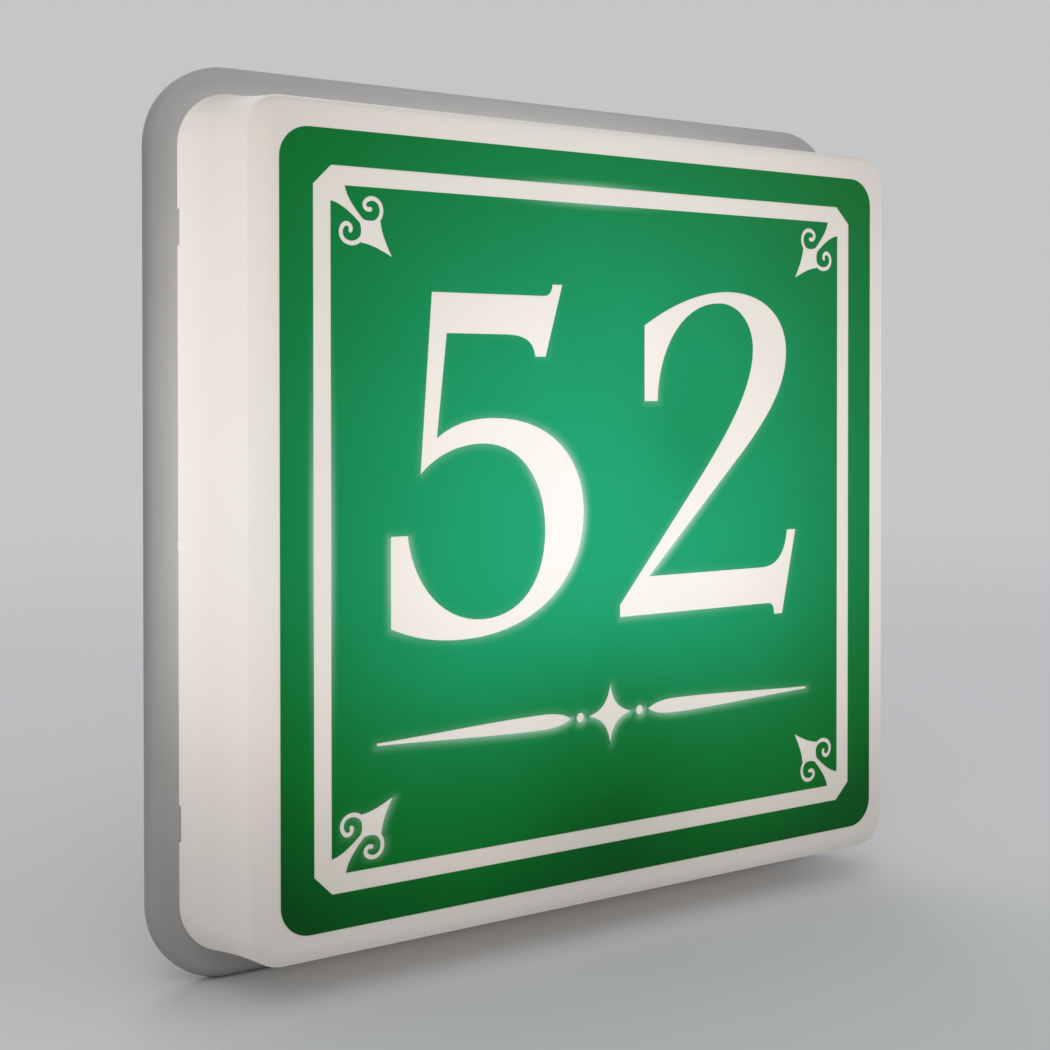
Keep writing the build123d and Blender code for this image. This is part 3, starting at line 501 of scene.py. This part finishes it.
def makeFilm(values):
    constants = {"Specular IOR Level": values["gloss"], "Emission Strength": 1.0}
    material, tree, shader = newMaterial("greenFilm", constants)
    x, _, z = separated(tree, objectPoint(tree))
    grain = useGrain(tree, values)
    level = useGroup(tree, lampGlow)["Level"]
    wander = byCloud(tree, grain, -values["wander"], values["wander"])
    lit = colourRamp(tree, total(tree, level, wander), values["lit"])
    # light that spills round the cut edges of the film, and along two stretches of the white line
    spill = addNode(tree, "ShaderNodeAttribute", attribute_name="edgeSpill").outputs["Fac"]
    fromLine = distanceFromLine(tree, x, z, values)
    atLine = rescale(tree, fromLine, values["spillReach"], 0.0)
    atLine = maths(tree, "POWER", atLine, values["spillPower"])
    for *place, share in values["lineSpots"]:
        spill = larger(tree, spill, product(tree, atLine, softSpot(tree, x, z, *place), share))
    byLevel = rescale(tree, level, *values["spillLevels"], *values["spillShares"])
    strength = maths(tree, "MULTIPLY", spill, byLevel, clamp=True)
    feed(tree, shader.inputs["Emission Color"], mixColours(tree, strength, lit, values["spillColour"]))
    clouds = rescale(tree, grain["Cloud"], *values["bodyClouds"])
    feed(tree, shader.inputs["Base Color"], mixColours(tree, clouds, values["body"], values["bodyDeep"]))
    feed(tree, shader.inputs["Roughness"], byHeight(tree, grain, *values["rough"]))
    bump(tree, shader, grain["Height"], values)
    return material


# what the moulded parts share where their own values say nothing else
mouldedUsual = {
    "gloss": 0.35, "cloud": 28.0, "bump": 0.25, "relief": 0.3 * mm, "roughSpan": 0.14, "rubShare": 0.35,
    "dust": 0.25, "dustColour": (0.42, 0.40, 0.36, 1), "dustRough": 0.25,
    "paintedGlow": 0.0,
}


# painted light: emission on the flange round the cover, standing in for the lit cover's light falling on it
def flangePaintedLight(tree, values):
    x, _, z = separated(tree, objectPoint(tree))
    beyondX = larger(tree, minus(tree, withoutSign(tree, x), values["paintedLightCorner"]), 0.0)
    beyondZ = larger(tree, minus(tree, withoutSign(tree, z), values["paintedLightCorner"]), 0.0)
    squares = total(tree, product(tree, beyondX, beyondX), product(tree, beyondZ, beyondZ))
    radius = maths(tree, "SQRT", squares)
    near = rescale(tree, radius, values["paintedLightEnd"], values["paintedLightStart"])
    forward = rescale(tree, separated(tree, surface(tree)["Normal"])[1], *values["paintedLightFacing"])
    outside = maths(tree, "GREATER_THAN", radius, values["paintedLightFrom"])
    # the painted pool of light, brightest next to the cover and on forward-facing flange surfaces
    shine = product(tree, near, forward, outside, useGroup(tree, lampGlow)["Level"])
    return mixColours(tree, shine, black, values["paintedLightColour"])


def makeMoulded(name, changes):
    values = {**mouldedUsual, **changes}
    constants = {"Specular IOR Level": values["gloss"], "Emission Strength": values["paintedGlow"]}
    material, tree, shader = newMaterial(name, constants)
    grain = useGrain(tree, values)
    geometry = surface(tree)
    up = separated(tree, geometry["Normal"])[2]
    dust = useGroup(tree, settledDust, {"Up": up, "Amount": values["dust"]})["Mask"]
    rub = useGroup(tree, edgeRub, {"Sharpness": geometry["Pointiness"]})["Mask"]
    body = clouded(tree, grain, values["light"], values["deep"])
    body = mixColours(tree, product(tree, rub, values["rubShare"]), body, values["rubbed"])
    feed(tree, shader.inputs["Base Color"], mixColours(tree, dust, body, values["dustColour"]))
    rough = byHeight(tree, grain, values["rough"], values["rough"] + values["roughSpan"])
    rough = total(tree, rough, product(tree, dust, values["dustRough"]))
    feed(tree, shader.inputs["Roughness"], rough)
    bump(tree, shader, grain["Height"], values)
    # painted light from the cover, given to the flange as emission
    if values["paintedGlow"]:
        feed(tree, shader.inputs["Emission Color"], flangePaintedLight(tree, values))
    return material


metalUsual = {
    "grain": 1400.0, "cloud": 120.0, "bump": 0.12, "relief": 0.2 * mm, "roughSpan": 0.16,
    "tarnishClouds": (0.35, 0.65), "rubShare": 0.6,
}


def makeMetal(name, changes):
    values = {**metalUsual, **changes}
    material, tree, shader = newMaterial(name, {"Metallic": 1.0})
    lines = useGroup(tree, drawnLines, {"Stretch": values["stretch"], "Scale": values["scale"]})
    rub = useGroup(tree, edgeRub, {"Sharpness": surface(tree)["Pointiness"]})["Mask"]
    cloud = useGrain(tree, values)["Cloud"]
    tarnish = rescale(tree, cloud, *values["tarnishClouds"], 0.0, values["tarnishShare"])
    body = mixColours(tree, lines["Mask"], values["light"], values["deep"])
    body = mixColours(tree, tarnish, body, values["tarnish"])
    body = mixColours(tree, product(tree, rub, values["rubShare"]), body, values["rubbed"])
    feed(tree, shader.inputs["Base Color"], body)
    rough = rescale(tree, lines["Mask"], 0.0, 1.0, values["rough"], values["rough"] + values["roughSpan"])
    feed(tree, shader.inputs["Roughness"], rough)
    bump(tree, shader, lines["Height"], values)
    return material


sheathUsual = {
    "gloss": 0.4, "rough": (0.32, 0.46), "grain": 1700.0, "cloud": 90.0, "bump": 0.10, "relief": 0.2 * mm,
    "stripeSlant": (0.6, 0.55),
    "stripeEdges": (0.46, 0.54),
}


# the second colour runs round the earth lead's sheath as a slanted stripe
def stripeMask(tree, values):
    x, y, z = separated(tree, objectPoint(tree))
    depthSlant, heightSlant = values["stripeSlant"]
    along = total(tree, x, product(tree, y, depthSlant))
    slanted = minus(tree, along, product(tree, z, heightSlant))
    start, end = values["stripeEdges"]
    pitch = values["stripePitch"]
    return rescale(tree, maths(tree, "PINGPONG", slanted, pitch), pitch * start, pitch * end)


def makeSheath(name, changes):
    values = {**sheathUsual, **changes}
    material, tree, shader = newMaterial(name, {"Specular IOR Level": values["gloss"]})
    grain = useGrain(tree, values)
    body = clouded(tree, grain, values["light"], values["deep"])
    if "stripe" in values:
        body = mixColours(tree, stripeMask(tree, values), body, values["stripe"])
    feed(tree, shader.inputs["Base Color"], body)
    feed(tree, shader.inputs["Roughness"], byHeight(tree, grain, *values["rough"]))
    bump(tree, shader, grain["Height"], values)
    return material


foamFinish = {
    "skin": (0.045, 0.045, 0.047, 1), "pit": (0.012, 0.012, 0.013, 1), "worn": (0.09, 0.09, 0.09, 1),
    "gloss": 0.2, "sheen": 0.2, "sheenRough": 0.5, "rough": (0.95, 0.8),
    "cellScale": 1800.0, "pitEdges": (0.05, 0.4), "wornClouds": (0.4, 0.7), "wornShare": 0.3,
    "grain": 2400.0, "cloud": 60.0, "grainShare": 0.3, "bump": 0.6, "relief": 0.3 * mm,
}


def makeFoam(values):
    constants = {"Specular IOR Level": values["gloss"], "Sheen Weight": values["sheen"],
                 "Sheen Roughness": values["sheenRough"]}
    material, tree, shader = newMaterial("foamRubber", constants)
    grain = useGrain(tree, values)
    cells = cellDistance(tree, objectPoint(tree), values["cellScale"])
    pit = rescale(tree, cells, *values["pitEdges"])
    worn = rescale(tree, grain["Cloud"], *values["wornClouds"], 0.0, values["wornShare"])
    body = mixColours(tree, pit, values["pit"], values["skin"])
    feed(tree, shader.inputs["Base Color"], mixColours(tree, worn, body, values["worn"]))
    feed(tree, shader.inputs["Roughness"], rescale(tree, pit, 0.0, 1.0, *values["rough"]))
    bump(tree, shader, total(tree, pit, product(tree, grain["Height"], values["grainShare"])), values)
    return material


chipPitch = 18.0 * mm    # from one light-emitting chip to the next, across and up

boardFinish = {
    "light": (0.80, 0.80, 0.78, 1), "deep": (0.76, 0.76, 0.74, 1), "track": (0.86, 0.86, 0.85, 1),
    "core": (0.62, 0.62, 0.60, 1), "solder": (0.66, 0.66, 0.64, 1), "gloss": 0.5, "rough": (0.28, 0.40),
    "grain": 1100.0, "cloud": 30.0, "bump": 0.35, "relief": 0.1 * mm,
    "fieldHalf": 54.0 * mm, "edgeFrom": 58.85 * mm, "padHalf": 2.35 * mm, "padHeight": 1.05 * mm,
    "trackHalf": 3.2 * mm, "trackShare": 0.25,
    "grainShare": 0.15, "padShare": 1.5,     # of the bump's height
}


# how far a point lies from the middle of its own chip, across or up
def fromChip(tree, coordinate):
    inCell = maths(tree, "FLOORED_MODULO", coordinate, chipPitch)
    return withoutSign(tree, minus(tree, inCell, chipPitch / 2))


def makeBoard(values):
    material, tree, shader = newMaterial("boardMask", {"Specular IOR Level": values["gloss"]})
    x, _, z = separated(tree, objectPoint(tree))
    across, up = fromChip(tree, x), fromChip(tree, z)
    fromMiddle = larger(tree, withoutSign(tree, x), withoutSign(tree, z))
    inside = isBelow(tree, fromMiddle, values["fieldHalf"])
    edge = maths(tree, "GREATER_THAN", fromMiddle, values["edgeFrom"])
    padAcross, padUp = isBelow(tree, across, values["padHalf"]), isBelow(tree, up, values["padHeight"])
    pad = product(tree, padAcross, padUp, inside)
    track = product(tree, isBelow(tree, up, values["trackHalf"]), inside)
    grain = useGrain(tree, values)
    body = clouded(tree, grain, values["light"], values["deep"])
    body = mixColours(tree, product(tree, track, values["trackShare"]), body, values["track"])
    body = mixColours(tree, edge, body, values["core"])
    feed(tree, shader.inputs["Base Color"], mixColours(tree, pad, body, values["solder"]))
    feed(tree, shader.inputs["Metallic"], larger(tree, pad, edge))
    feed(tree, shader.inputs["Roughness"], byHeight(tree, grain, *values["rough"]))
    grains = product(tree, grain["Height"], values["grainShare"])
    bump(tree, shader, total(tree, grains, track, product(tree, pad, values["padShare"])), values)
    return material


chipFinish = {
    "phosphor": (0.86, 0.55, 0.06, 1), "phosphorDeep": (0.74, 0.42, 0.03, 1),
    "shell": (0.82, 0.81, 0.78, 1), "solder": (0.6, 0.6, 0.58, 1),
    "light": (1.0, 0.78, 0.42, 1), "shine": 1.6, "gloss": 0.5, "rough": (0.2, 0.4),
    "grain": 5200.0, "cloud": 900.0, "bump": 0.5, "relief": 0.1 * mm,
    "windowHalf": 1.35 * mm, "windowHeight": 1.1 * mm, "windowSoft": 0.08 * mm,
    "terminal": 1.55 * mm, "terminalSoft": 0.1 * mm,
    "faceTurn": -0.9,            # a normal's y, below which the surface is the chip's face
}


def makeChip(values):
    constants = {"Specular IOR Level": values["gloss"], "Emission Strength": values["shine"]}
    material, tree, shader = newMaterial("ledPackage", constants)
    x, _, z = separated(tree, objectPoint(tree))
    across, up = fromChip(tree, x), fromChip(tree, z)
    face = isBelow(tree, separated(tree, surface(tree)["Normal"])[1], values["faceTurn"])
    half, height, soft = values["windowHalf"], values["windowHeight"], values["windowSoft"]
    windowAcross = rescale(tree, across, half + soft, half - soft)
    windowUp = rescale(tree, up, height + soft, height - soft)
    window = product(tree, windowAcross, windowUp, face)
    grain = useGrain(tree, values)
    phosphor = mixColours(tree, grain["Cloud"], values["phosphor"], values["phosphorDeep"])
    leadEnd = rescale(tree, across, values["terminal"], values["terminal"] + values["terminalSoft"])
    soldered = product(tree, leadEnd, minus(tree, 1.0, face))
    shell = mixColours(tree, soldered, values["shell"], values["solder"])
    feed(tree, shader.inputs["Base Color"], mixColours(tree, window, shell, phosphor))
    feed(tree, shader.inputs["Emission Color"], mixColours(tree, window, black, values["light"]))
    feed(tree, shader.inputs["Roughness"], byHeight(tree, grain, *values["rough"]))
    bump(tree, shader, window, values)
    return material


finishes = {
    "opal_cover": makeOpal(opalFinish),
    "green_film": makeFilm(filmFinish),
    "base_plastic": makeMoulded("basePlastic", {
        "light": (0.295, 0.293, 0.288, 1), "deep": (0.268, 0.266, 0.262, 1),
        "rubbed": (0.37, 0.365, 0.355, 1), "rough": 0.5, "grain": 1700.0, "bump": 0.16, "dust": 0.22,
        # painted light: the flange's emission near the cover
        "paintedGlow": 0.56, "paintedLightColour": (1.0, 0.97, 0.93, 1), "paintedLightFacing": (0.1, -0.9),
        "paintedLightCorner": 98.0 * mm, "paintedLightFrom": 13.0 * mm, "paintedLightStart": 14.5 * mm, "paintedLightEnd": 27.0 * mm}),
    "terminal_plastic": makeMoulded("terminalPlastic", {
        "light": (0.68, 0.67, 0.62, 1), "deep": (0.62, 0.61, 0.565, 1), "rubbed": (0.76, 0.75, 0.71, 1),
        "rough": 0.36, "grain": 2200.0, "bump": 0.12, "dust": 0.12, "gloss": 0.45}),
    "driver_plastic": makeMoulded("driverPlastic", {
        "light": (0.72, 0.72, 0.70, 1), "deep": (0.66, 0.66, 0.645, 1), "rubbed": (0.80, 0.80, 0.79, 1),
        "rough": 0.5, "grain": 1300.0, "bump": 0.35, "dust": 0.15}),
    "connector_plastic": makeMoulded("connectorPlastic", {
        "light": (0.74, 0.735, 0.70, 1), "deep": (0.69, 0.685, 0.65, 1), "rubbed": (0.80, 0.80, 0.78, 1),
        "rough": 0.3, "grain": 2600.0, "bump": 0.08, "dust": 0.08, "gloss": 0.5}),
    "white_paint": makeMoulded("trayPaint", {
        "light": (0.80, 0.80, 0.785, 1), "deep": (0.775, 0.775, 0.76, 1), "rubbed": (0.62, 0.63, 0.64, 1),
        "rough": 0.24, "grain": 900.0, "cloud": 40.0, "bump": 0.10, "dust": 0.10, "gloss": 0.5}),
    "black_rubber": makeMoulded("blackRubber", {
        "light": (0.030, 0.030, 0.031, 1), "deep": (0.018, 0.018, 0.019, 1), "rubbed": (0.07, 0.07, 0.07, 1),
        "rough": 0.55, "grain": 2000.0, "bump": 0.2, "gloss": 0.3}),
    "foam_rubber": makeFoam(foamFinish),
    "zinc_steel": makeMetal("zincSteel", {
        "light": (0.66, 0.67, 0.69, 1), "deep": (0.50, 0.51, 0.53, 1), "tarnish": (0.52, 0.50, 0.42, 1),
        "tarnishShare": 0.35, "rubbed": (0.82, 0.83, 0.84, 1), "rough": 0.28,
        "scale": 1300.0, "stretch": (1.0, 0.15, 1.0)}),
    "brass": makeMetal("brass", {
        "light": (0.80, 0.58, 0.27, 1), "deep": (0.60, 0.40, 0.16, 1), "tarnish": (0.42, 0.25, 0.10, 1),
        "tarnishShare": 0.3, "rubbed": (0.90, 0.72, 0.42, 1), "rough": 0.24,
        "scale": 1500.0, "stretch": (0.15, 1.0, 1.0)}),
    "tinned_copper": makeMetal("tinnedCopper", {
        "light": (0.70, 0.68, 0.64, 1), "deep": (0.54, 0.52, 0.49, 1), "tarnish": (0.55, 0.42, 0.30, 1),
        "tarnishShare": 0.25, "rubbed": (0.80, 0.60, 0.45, 1), "rough": 0.3,
        "scale": 1000.0, "stretch": (1.0, 1.0, 0.2)}),
    "lead_brown": makeSheath("brownSheath", {
        "light": (0.115, 0.042, 0.016, 1), "deep": (0.085, 0.030, 0.011, 1)}),
    "lead_blue": makeSheath("blueSheath", {
        "light": (0.012, 0.07, 0.36, 1), "deep": (0.008, 0.05, 0.28, 1)}),
    "lead_green": makeSheath("greenYellowSheath", {
        "light": (0.02, 0.21, 0.035, 1), "deep": (0.015, 0.17, 0.028, 1),
        "stripe": (0.80, 0.56, 0.02, 1), "stripePitch": 2.6 * mm}),
    "lead_red": makeSheath("redSheath", {
        "light": (0.42, 0.012, 0.010, 1), "deep": (0.33, 0.008, 0.007, 1)}),
    "lead_black": makeSheath("blackSheath", {
        "light": (0.022, 0.022, 0.023, 1), "deep": (0.014, 0.014, 0.015, 1)}),
    "board_white": makeBoard(boardFinish),
    "led_chip": makeChip(chipFinish),
}
print("finishes ready,", len(finishes))


def dress(piece, slotName):
    piece.data.materials.clear()
    piece.data.materials.append(finishes[slotName])


slotOf = {part["node"]: part["material_slot"] for part in frame["record"]["subparts"]}
for name, node in cadNodes.items():
    dress(node, slotOf[name])
print("nodes dressed")


# the number, cut out of the inner film: x and z on the face in mm, "curve" has two handles and an end
numberCut = {
    "five": [
        (-57.2, 60.4),
        ("line", (-22.6, 60.4)), ("curve", (-20.6, 60.4), (-19.6, 61.4), (-19.5, 63.6)),
        ("line", (-16.1, 63.6)), ("line", (-21.6, 44.0)), ("line", (-25.1, 44.0)),
        ("curve", (-25.7, 48.4), (-28.6, 49.8), (-35.0, 49.8)),
        ("line", (-52.6, 49.8)), ("line", (-55.6, 22.6)),
        ("curve", (-51.0, 26.0), (-45.6, 27.6), (-38.6, 27.6)),
        ("curve", (-19.5, 27.6), (-8.9, 16.4), (-8.9, 1.6)),
        ("curve", (-8.9, -17.5), (-25.5, -30.4), (-47.5, -30.4)),
        ("curve", (-56.5, -30.4), (-62.6, -28.9), (-69.3, -26.0)),
        ("line", (-69.3, -2.4)), ("line", (-64.3, -2.4)),
        ("curve", (-62.6, -16.0), (-53.5, -25.5), (-41.6, -25.5)),
        ("curve", (-29.5, -25.5), (-21.9, -16.5), (-21.9, -2.8)),
        ("curve", (-21.9, 11.6), (-30.4, 20.9), (-41.6, 20.9)),
        ("curve", (-49.2, 20.9), (-55.6, 18.2), (-60.6, 13.2)),
        ("line", (-57.2, 60.4)),
    ],
    "two": [
        (11.9, 53.2),
        ("curve", (22.0, 59.6), (33.0, 63.6), (43.5, 63.6)),
        ("curve", (56.5, 63.6), (65.4, 57.0), (65.4, 46.5)),
        ("curve", (65.4, 36.5), (58.5, 27.6), (50.0, 18.5)),
        ("line", (13.8, -17.6)), ("line", (55.5, -17.6)),
        ("curve", (62.0, -17.6), (64.8, -13.5), (65.6, -6.8)),
        ("line", (69.2, -6.8)), ("line", (63.9, -31.8)), ("line", (60.5, -31.8)),
        ("curve", (60.5, -29.2), (59.6, -28.4), (58.0, -28.4)),
        ("line", (3.3, -28.4)), ("line", (3.3, -25.0)), ("line", (30.0, 7.2)),
        ("curve", (41.0, 20.6), (52.1, 35.0), (52.1, 47.0)),
        ("curve", (52.1, 54.7), (46.6, 60.2), (39.5, 60.2)),
        ("curve", (26.5, 60.2), (17.2, 48.0), (16.7, 31.9)),
        ("line", (11.9, 31.9)), ("line", (11.9, 53.2)),
    ],
    "resolution": 14,
}

# a plain divider under the number: a lozenge with hollow sides between two swelled rules
dividerCut = {
    "height": -55.0,
    "lozenge": [
        (0.0, 8.6),
        ("curve", (0.9, 3.4), (2.6, 1.2), (7.4, 0.0)), ("curve", (2.6, -1.2), (0.9, -3.4), (0.0, -8.6)),
        ("curve", (-0.9, -3.4), (-2.6, -1.2), (-7.4, 0.0)), ("curve", (-2.6, 1.2), (-0.9, 3.4), (0.0, 8.6)),
    ],
    "rule": [
        (13.2, 0.0),
        ("curve", (15.4, 1.5), (18.6, 2.1), (23.0, 2.1)), ("curve", (38.0, 2.1), (56.0, 0.8), (73.4, 0.35)),
        ("line", (73.4, -0.35)),
        ("curve", (56.0, -0.8), (38.0, -2.1), (23.0, -2.1)),
        ("curve", (18.6, -2.1), (15.4, -1.5), (13.2, 0.0)),
    ],
    "dotPlace": 10.2,
    "dotRadius": 1.3,
    "dotCorners": 40,
    "resolution": 12,
}

filmPanel = {
    "blockSide": 178.0,       # mm, larger than the panel, so that the panel's own outline is kept
    "cells": 178,
    "front": -50.25,
    "thickness": 0.25,
    "cutDepth": 3.0,
    "outlineStretch": 8,      # how much thicker the outline is made to cut with
    "spillHalf": 85.9,        # spill starts at the cut-outs and not at the panel's own edge
    "spillReach": 2.6,
    "spillPower": 2.0,
    "spillEven": 0.16,
    "spillLean": 0.72,        # more on the lower right of each cut-out, and away from the light source
    "leanTo": (0.75, -0.66),
    "source": (-22.0, 14.0),
    "sourceShare": 0.8,
    # where light spills at all: x and z in mm, reach across and up, strength
    "spillSpots": [
        (-4, -4, 46, 32, 1.2), (-70, -12, 15, 18, 0.8), (0, -55, 90, 9, 0.75), (-68, -73, 15, 13, 0.5),
    ],
}


# a filled flat outline, made a mesh and pushed through the film
def makeCutter(name, outline, resolution, mirrored=False, lift=0.0):
    sign = -1 if mirrored else 1

    def placed(point):
        return Vector((sign * point[0] * mm, (point[1] + lift) * mm, 0))

    curve = bpy.data.curves.new(name, "CURVE")
    curve.dimensions, curve.fill_mode = "2D", "BOTH"
    curve.extrude, curve.resolution_u = filmPanel["cutDepth"] / 2 * mm, resolution
    spline = curve.splines.new("BEZIER")
    steps = outline[1:]
    spline.bezier_points.add(len(steps) - 1)
    spline.use_cyclic_u = True
    points = spline.bezier_points
    corners = [outline[0]] + [step[-1] for step in steps]
    for point, corner in zip(points, corners):
        point.co = placed(corner)
        point.handle_left_type = point.handle_right_type = "FREE"
    for index, step in enumerate(steps):
        following = points[(index + 1) % len(points)]
        if step[0] == "curve":
            handles = placed(step[1]), placed(step[2])
        else:
            start, end = placed(corners[index]), placed(corners[index + 1])
            handles = start.lerp(end, 1 / 3), start.lerp(end, 2 / 3)
        points[index].handle_right, following.handle_left = handles
    piece = bpy.data.objects.new(name, curve)
    scene.collection.objects.link(piece)
    selectOnly(piece)
    bpy.ops.object.convert(target="MESH")
    bpy.ops.object.mode_set(mode="EDIT")
    bpy.ops.mesh.select_all(action="SELECT")
    bpy.ops.mesh.remove_doubles(threshold=0.01 * mm)
    bpy.ops.mesh.normals_make_consistent(inside=False)
    bpy.ops.object.mode_set(mode="OBJECT")
    piece = bpy.context.object
    piece.rotation_euler = (radians(90), 0, 0)
    piece.location = (0, filmPanel["front"] * mm, 0)
    settle(piece)
    return piece


def makeDot(name, x, z):
    deselectAll()
    bpy.ops.mesh.primitive_cylinder_add(
        vertices=dividerCut["dotCorners"], radius=dividerCut["dotRadius"] * mm,
        depth=filmPanel["cutDepth"] * mm, rotation=(radians(90), 0, 0),
        location=(x * mm, filmPanel["front"] * mm, z * mm))
    dot = bpy.context.object
    dot.name = name
    settle(dot)
    return dot


def applyBoolean(piece, cutter, operation):
    selectOnly(piece)
    cut = piece.modifiers.new("cut", "BOOLEAN")
    cut.operation, cut.solver, cut.object = operation, "EXACT", cutter
    bpy.ops.object.modifier_apply(modifier=cut.name)
    bpy.data.objects.remove(cutter)


# a sheet of film whose front is finely divided, so that its corners can carry the light at the cut edges
def makeFilmBlock(values):
    deselectAll()
    bpy.ops.mesh.primitive_grid_add(
        x_subdivisions=values["cells"], y_subdivisions=values["cells"], size=values["blockSide"] * mm,
        rotation=(radians(90), 0, 0), location=(0, values["front"] * mm, 0))
    block = bpy.context.object
    block.name = "filmPanelCut"
    settle(block)
    bpy.ops.object.mode_set(mode="EDIT")
    bpy.ops.mesh.select_mode(type="EDGE")
    bpy.ops.mesh.select_all(action="DESELECT")
    bpy.ops.mesh.select_non_manifold()
    backwards = (0, values["thickness"] * mm, 0)
    bpy.ops.mesh.extrude_edges_move(TRANSFORM_OT_translate={"value": backwards})
    bpy.ops.mesh.edge_face_add()
    bpy.ops.mesh.select_all(action="SELECT")
    bpy.ops.mesh.normals_make_consistent(inside=False)
    bpy.ops.object.mode_set(mode="OBJECT")
    return block


# the panel's own outline with its flourishes, thick enough to cut the block with
def makePanelOutline(values):
    piece = cadNodes["film_panel"].copy()
    piece.data = piece.data.copy()
    piece.parent = None
    piece.name = "panelOutline"
    for key in list(piece.keys()):
        del piece[key]
    scene.collection.objects.link(piece)
    selectOnly(piece)
    bpy.ops.object.mode_set(mode="EDIT")
    bpy.ops.mesh.select_all(action="SELECT")
    bpy.ops.mesh.remove_doubles(threshold=0.002 * mm)
    middle = (values["front"] + values["thickness"] / 2) * mm
    bpy.ops.transform.resize(value=(1, values["outlineStretch"], 1), center_override=(0, middle, 0))
    bpy.ops.object.mode_set(mode="OBJECT")
    return piece


# how much light gets round the cut edges at all, by place on the face in mm
def spillStrength(values, x, z):
    return max(strength * exp(-((x - across) / wide) ** 2 - ((z - up) / high) ** 2)
               for across, up, wide, high, strength in values["spillSpots"])


def markSpill(piece, values):
    mesh = piece.data
    walls = [tuple(face.vertices) for face in mesh.polygons if abs(face.normal.y) < 0.5]
    tree = BVHTree.FromPolygons([vertex.co for vertex in mesh.vertices], walls)
    lean = Vector((values["leanTo"][0], 0, values["leanTo"][1])).normalized()
    source = Vector((values["source"][0] * mm, 0, values["source"][1] * mm))
    spill = mesh.attributes.new("edgeSpill", "FLOAT", "POINT")
    for vertex in mesh.vertices:
        if abs(vertex.co.y - values["front"] * mm) > 0.02 * mm:
            continue
        place, wallNormal, _, distance = tree.find_nearest(vertex.co)
        if max(abs(place.x), abs(place.z)) > values["spillHalf"] * mm:
            continue
        away = vertex.co - place
        away.y = 0
        leaning = away.normalized() if away.length > 0.01 * mm else -wallNormal
        fromSource = (Vector((place.x, 0, place.z)) - source).normalized()
        towards = max(0.0, leaning.dot(lean), leaning.dot(fromSource) * values["sourceShare"])
        share = max(0.0, 1 - distance / (values["spillReach"] * mm)) ** values["spillPower"]
        here = spillStrength(values, place.x / mm, place.z / mm)
        spill.data[vertex.index].value = share * here * (values["spillEven"] + values["spillLean"] * towards)


def makeFilmPanel():
    panel = makeFilmBlock(filmPanel)
    applyBoolean(panel, makePanelOutline(filmPanel), "INTERSECT")
    cutters = []
    for digit in ("five", "two"):
        cutters.append(makeCutter("cut" + digit.title(), numberCut[digit], numberCut["resolution"]))
    level, resolution = dividerCut["height"], dividerCut["resolution"]
    cutters.append(makeCutter("cutLozenge", dividerCut["lozenge"], resolution, lift=level))
    for mirrored in (False, True):
        sign = -1 if mirrored else 1
        cutters.append(makeCutter("cutRule", dividerCut["rule"], resolution, mirrored, level))
        cutters.append(makeDot("cutDot", sign * dividerCut["dotPlace"], level))
    for cutter in cutters:
        applyBoolean(panel, cutter, "DIFFERENCE")
    selectOnly(panel)
    bpy.ops.object.shade_flat()
    markSpill(panel, filmPanel)
    dress(panel, "green_film")
    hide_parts("film_panel")
    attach(panel, "cover")
    print("film panel cut,", len(panel.data.vertices), "corners,", len(panel.data.polygons), "faces")


makeFilmPanel()


# 1 for what the camera sees, straight or in a gloss or through glass
def seenByCamera(tree):
    rays = addNode(tree, "ShaderNodeLightPath").outputs
    indirect = total(tree, rays["Is Glossy Ray"], rays["Is Transmission Ray"])
    return maths(tree, "ADD", rays["Is Camera Ray"], indirect, clamp=True)


def makeFloor(values):
    deselectAll()
    bpy.ops.mesh.primitive_plane_add(size=values["floorSize"], location=(0, 0, values["floorZ"]))
    floor = bpy.context.object
    floor.name = "studioFloor"
    settle(floor)
    material, tree, shader = newMaterial("floorPaint", {"Roughness": 0.85, "Specular IOR Level": 0.1})
    red, green, blue, _ = values["floorColour"]
    deep = (red * values["floorDeep"], green * values["floorDeep"], blue * values["floorDeep"], 1)
    paint = mixColours(tree, useGrain(tree, values["floorGrain"])["Cloud"], values["floorColour"], deep)
    feed(tree, shader.inputs["Base Color"], paint)
    # far from the lamp the floor runs into the backdrop without a line
    x, y, _ = separated(tree, objectPoint(tree))
    far = maths(tree, "SQRT", total(tree, product(tree, x, x), product(tree, y, y)))
    fade = {"Value": far, "From Min": values["fadeFrom"], "From Max": values["fadeTo"]}
    faded = addNode(tree, "ShaderNodeMapRange", fade, interpolation_type="SMOOTHERSTEP").outputs[0]
    share = product(tree, faded, seenByCamera(tree))
    plain = addNode(tree, "ShaderNodeEmission", {"Color": values["backdrop"], "Strength": 1.0})
    blend = addNode(tree, "ShaderNodeMixShader", {0: share, 1: shader.outputs[0], 2: plain.outputs[0]})
    end = next(n for n in tree.nodes if n.type == "OUTPUT_MATERIAL")
    feed(tree, end.inputs[0], blend.outputs[0])
    floor.data.materials.append(material)


def makeBackdrop(values):
    world = bpy.data.worlds.new("studioWorld")
    scene.world = world
    world.use_nodes = True
    tree = world.node_tree
    back = next(n for n in tree.nodes if n.type == "BACKGROUND")
    colour = mixColours(tree, seenByCamera(tree), values["ambient"], values["backdrop"])
    feed(tree, back.inputs["Color"], colour)


makeFloor(studio)
makeBackdrop(studio)
for lamp in studio["lamps"]:
    addLamp(*lamp)
makeCamera(cameraView)
print("floor, light and camera ready")
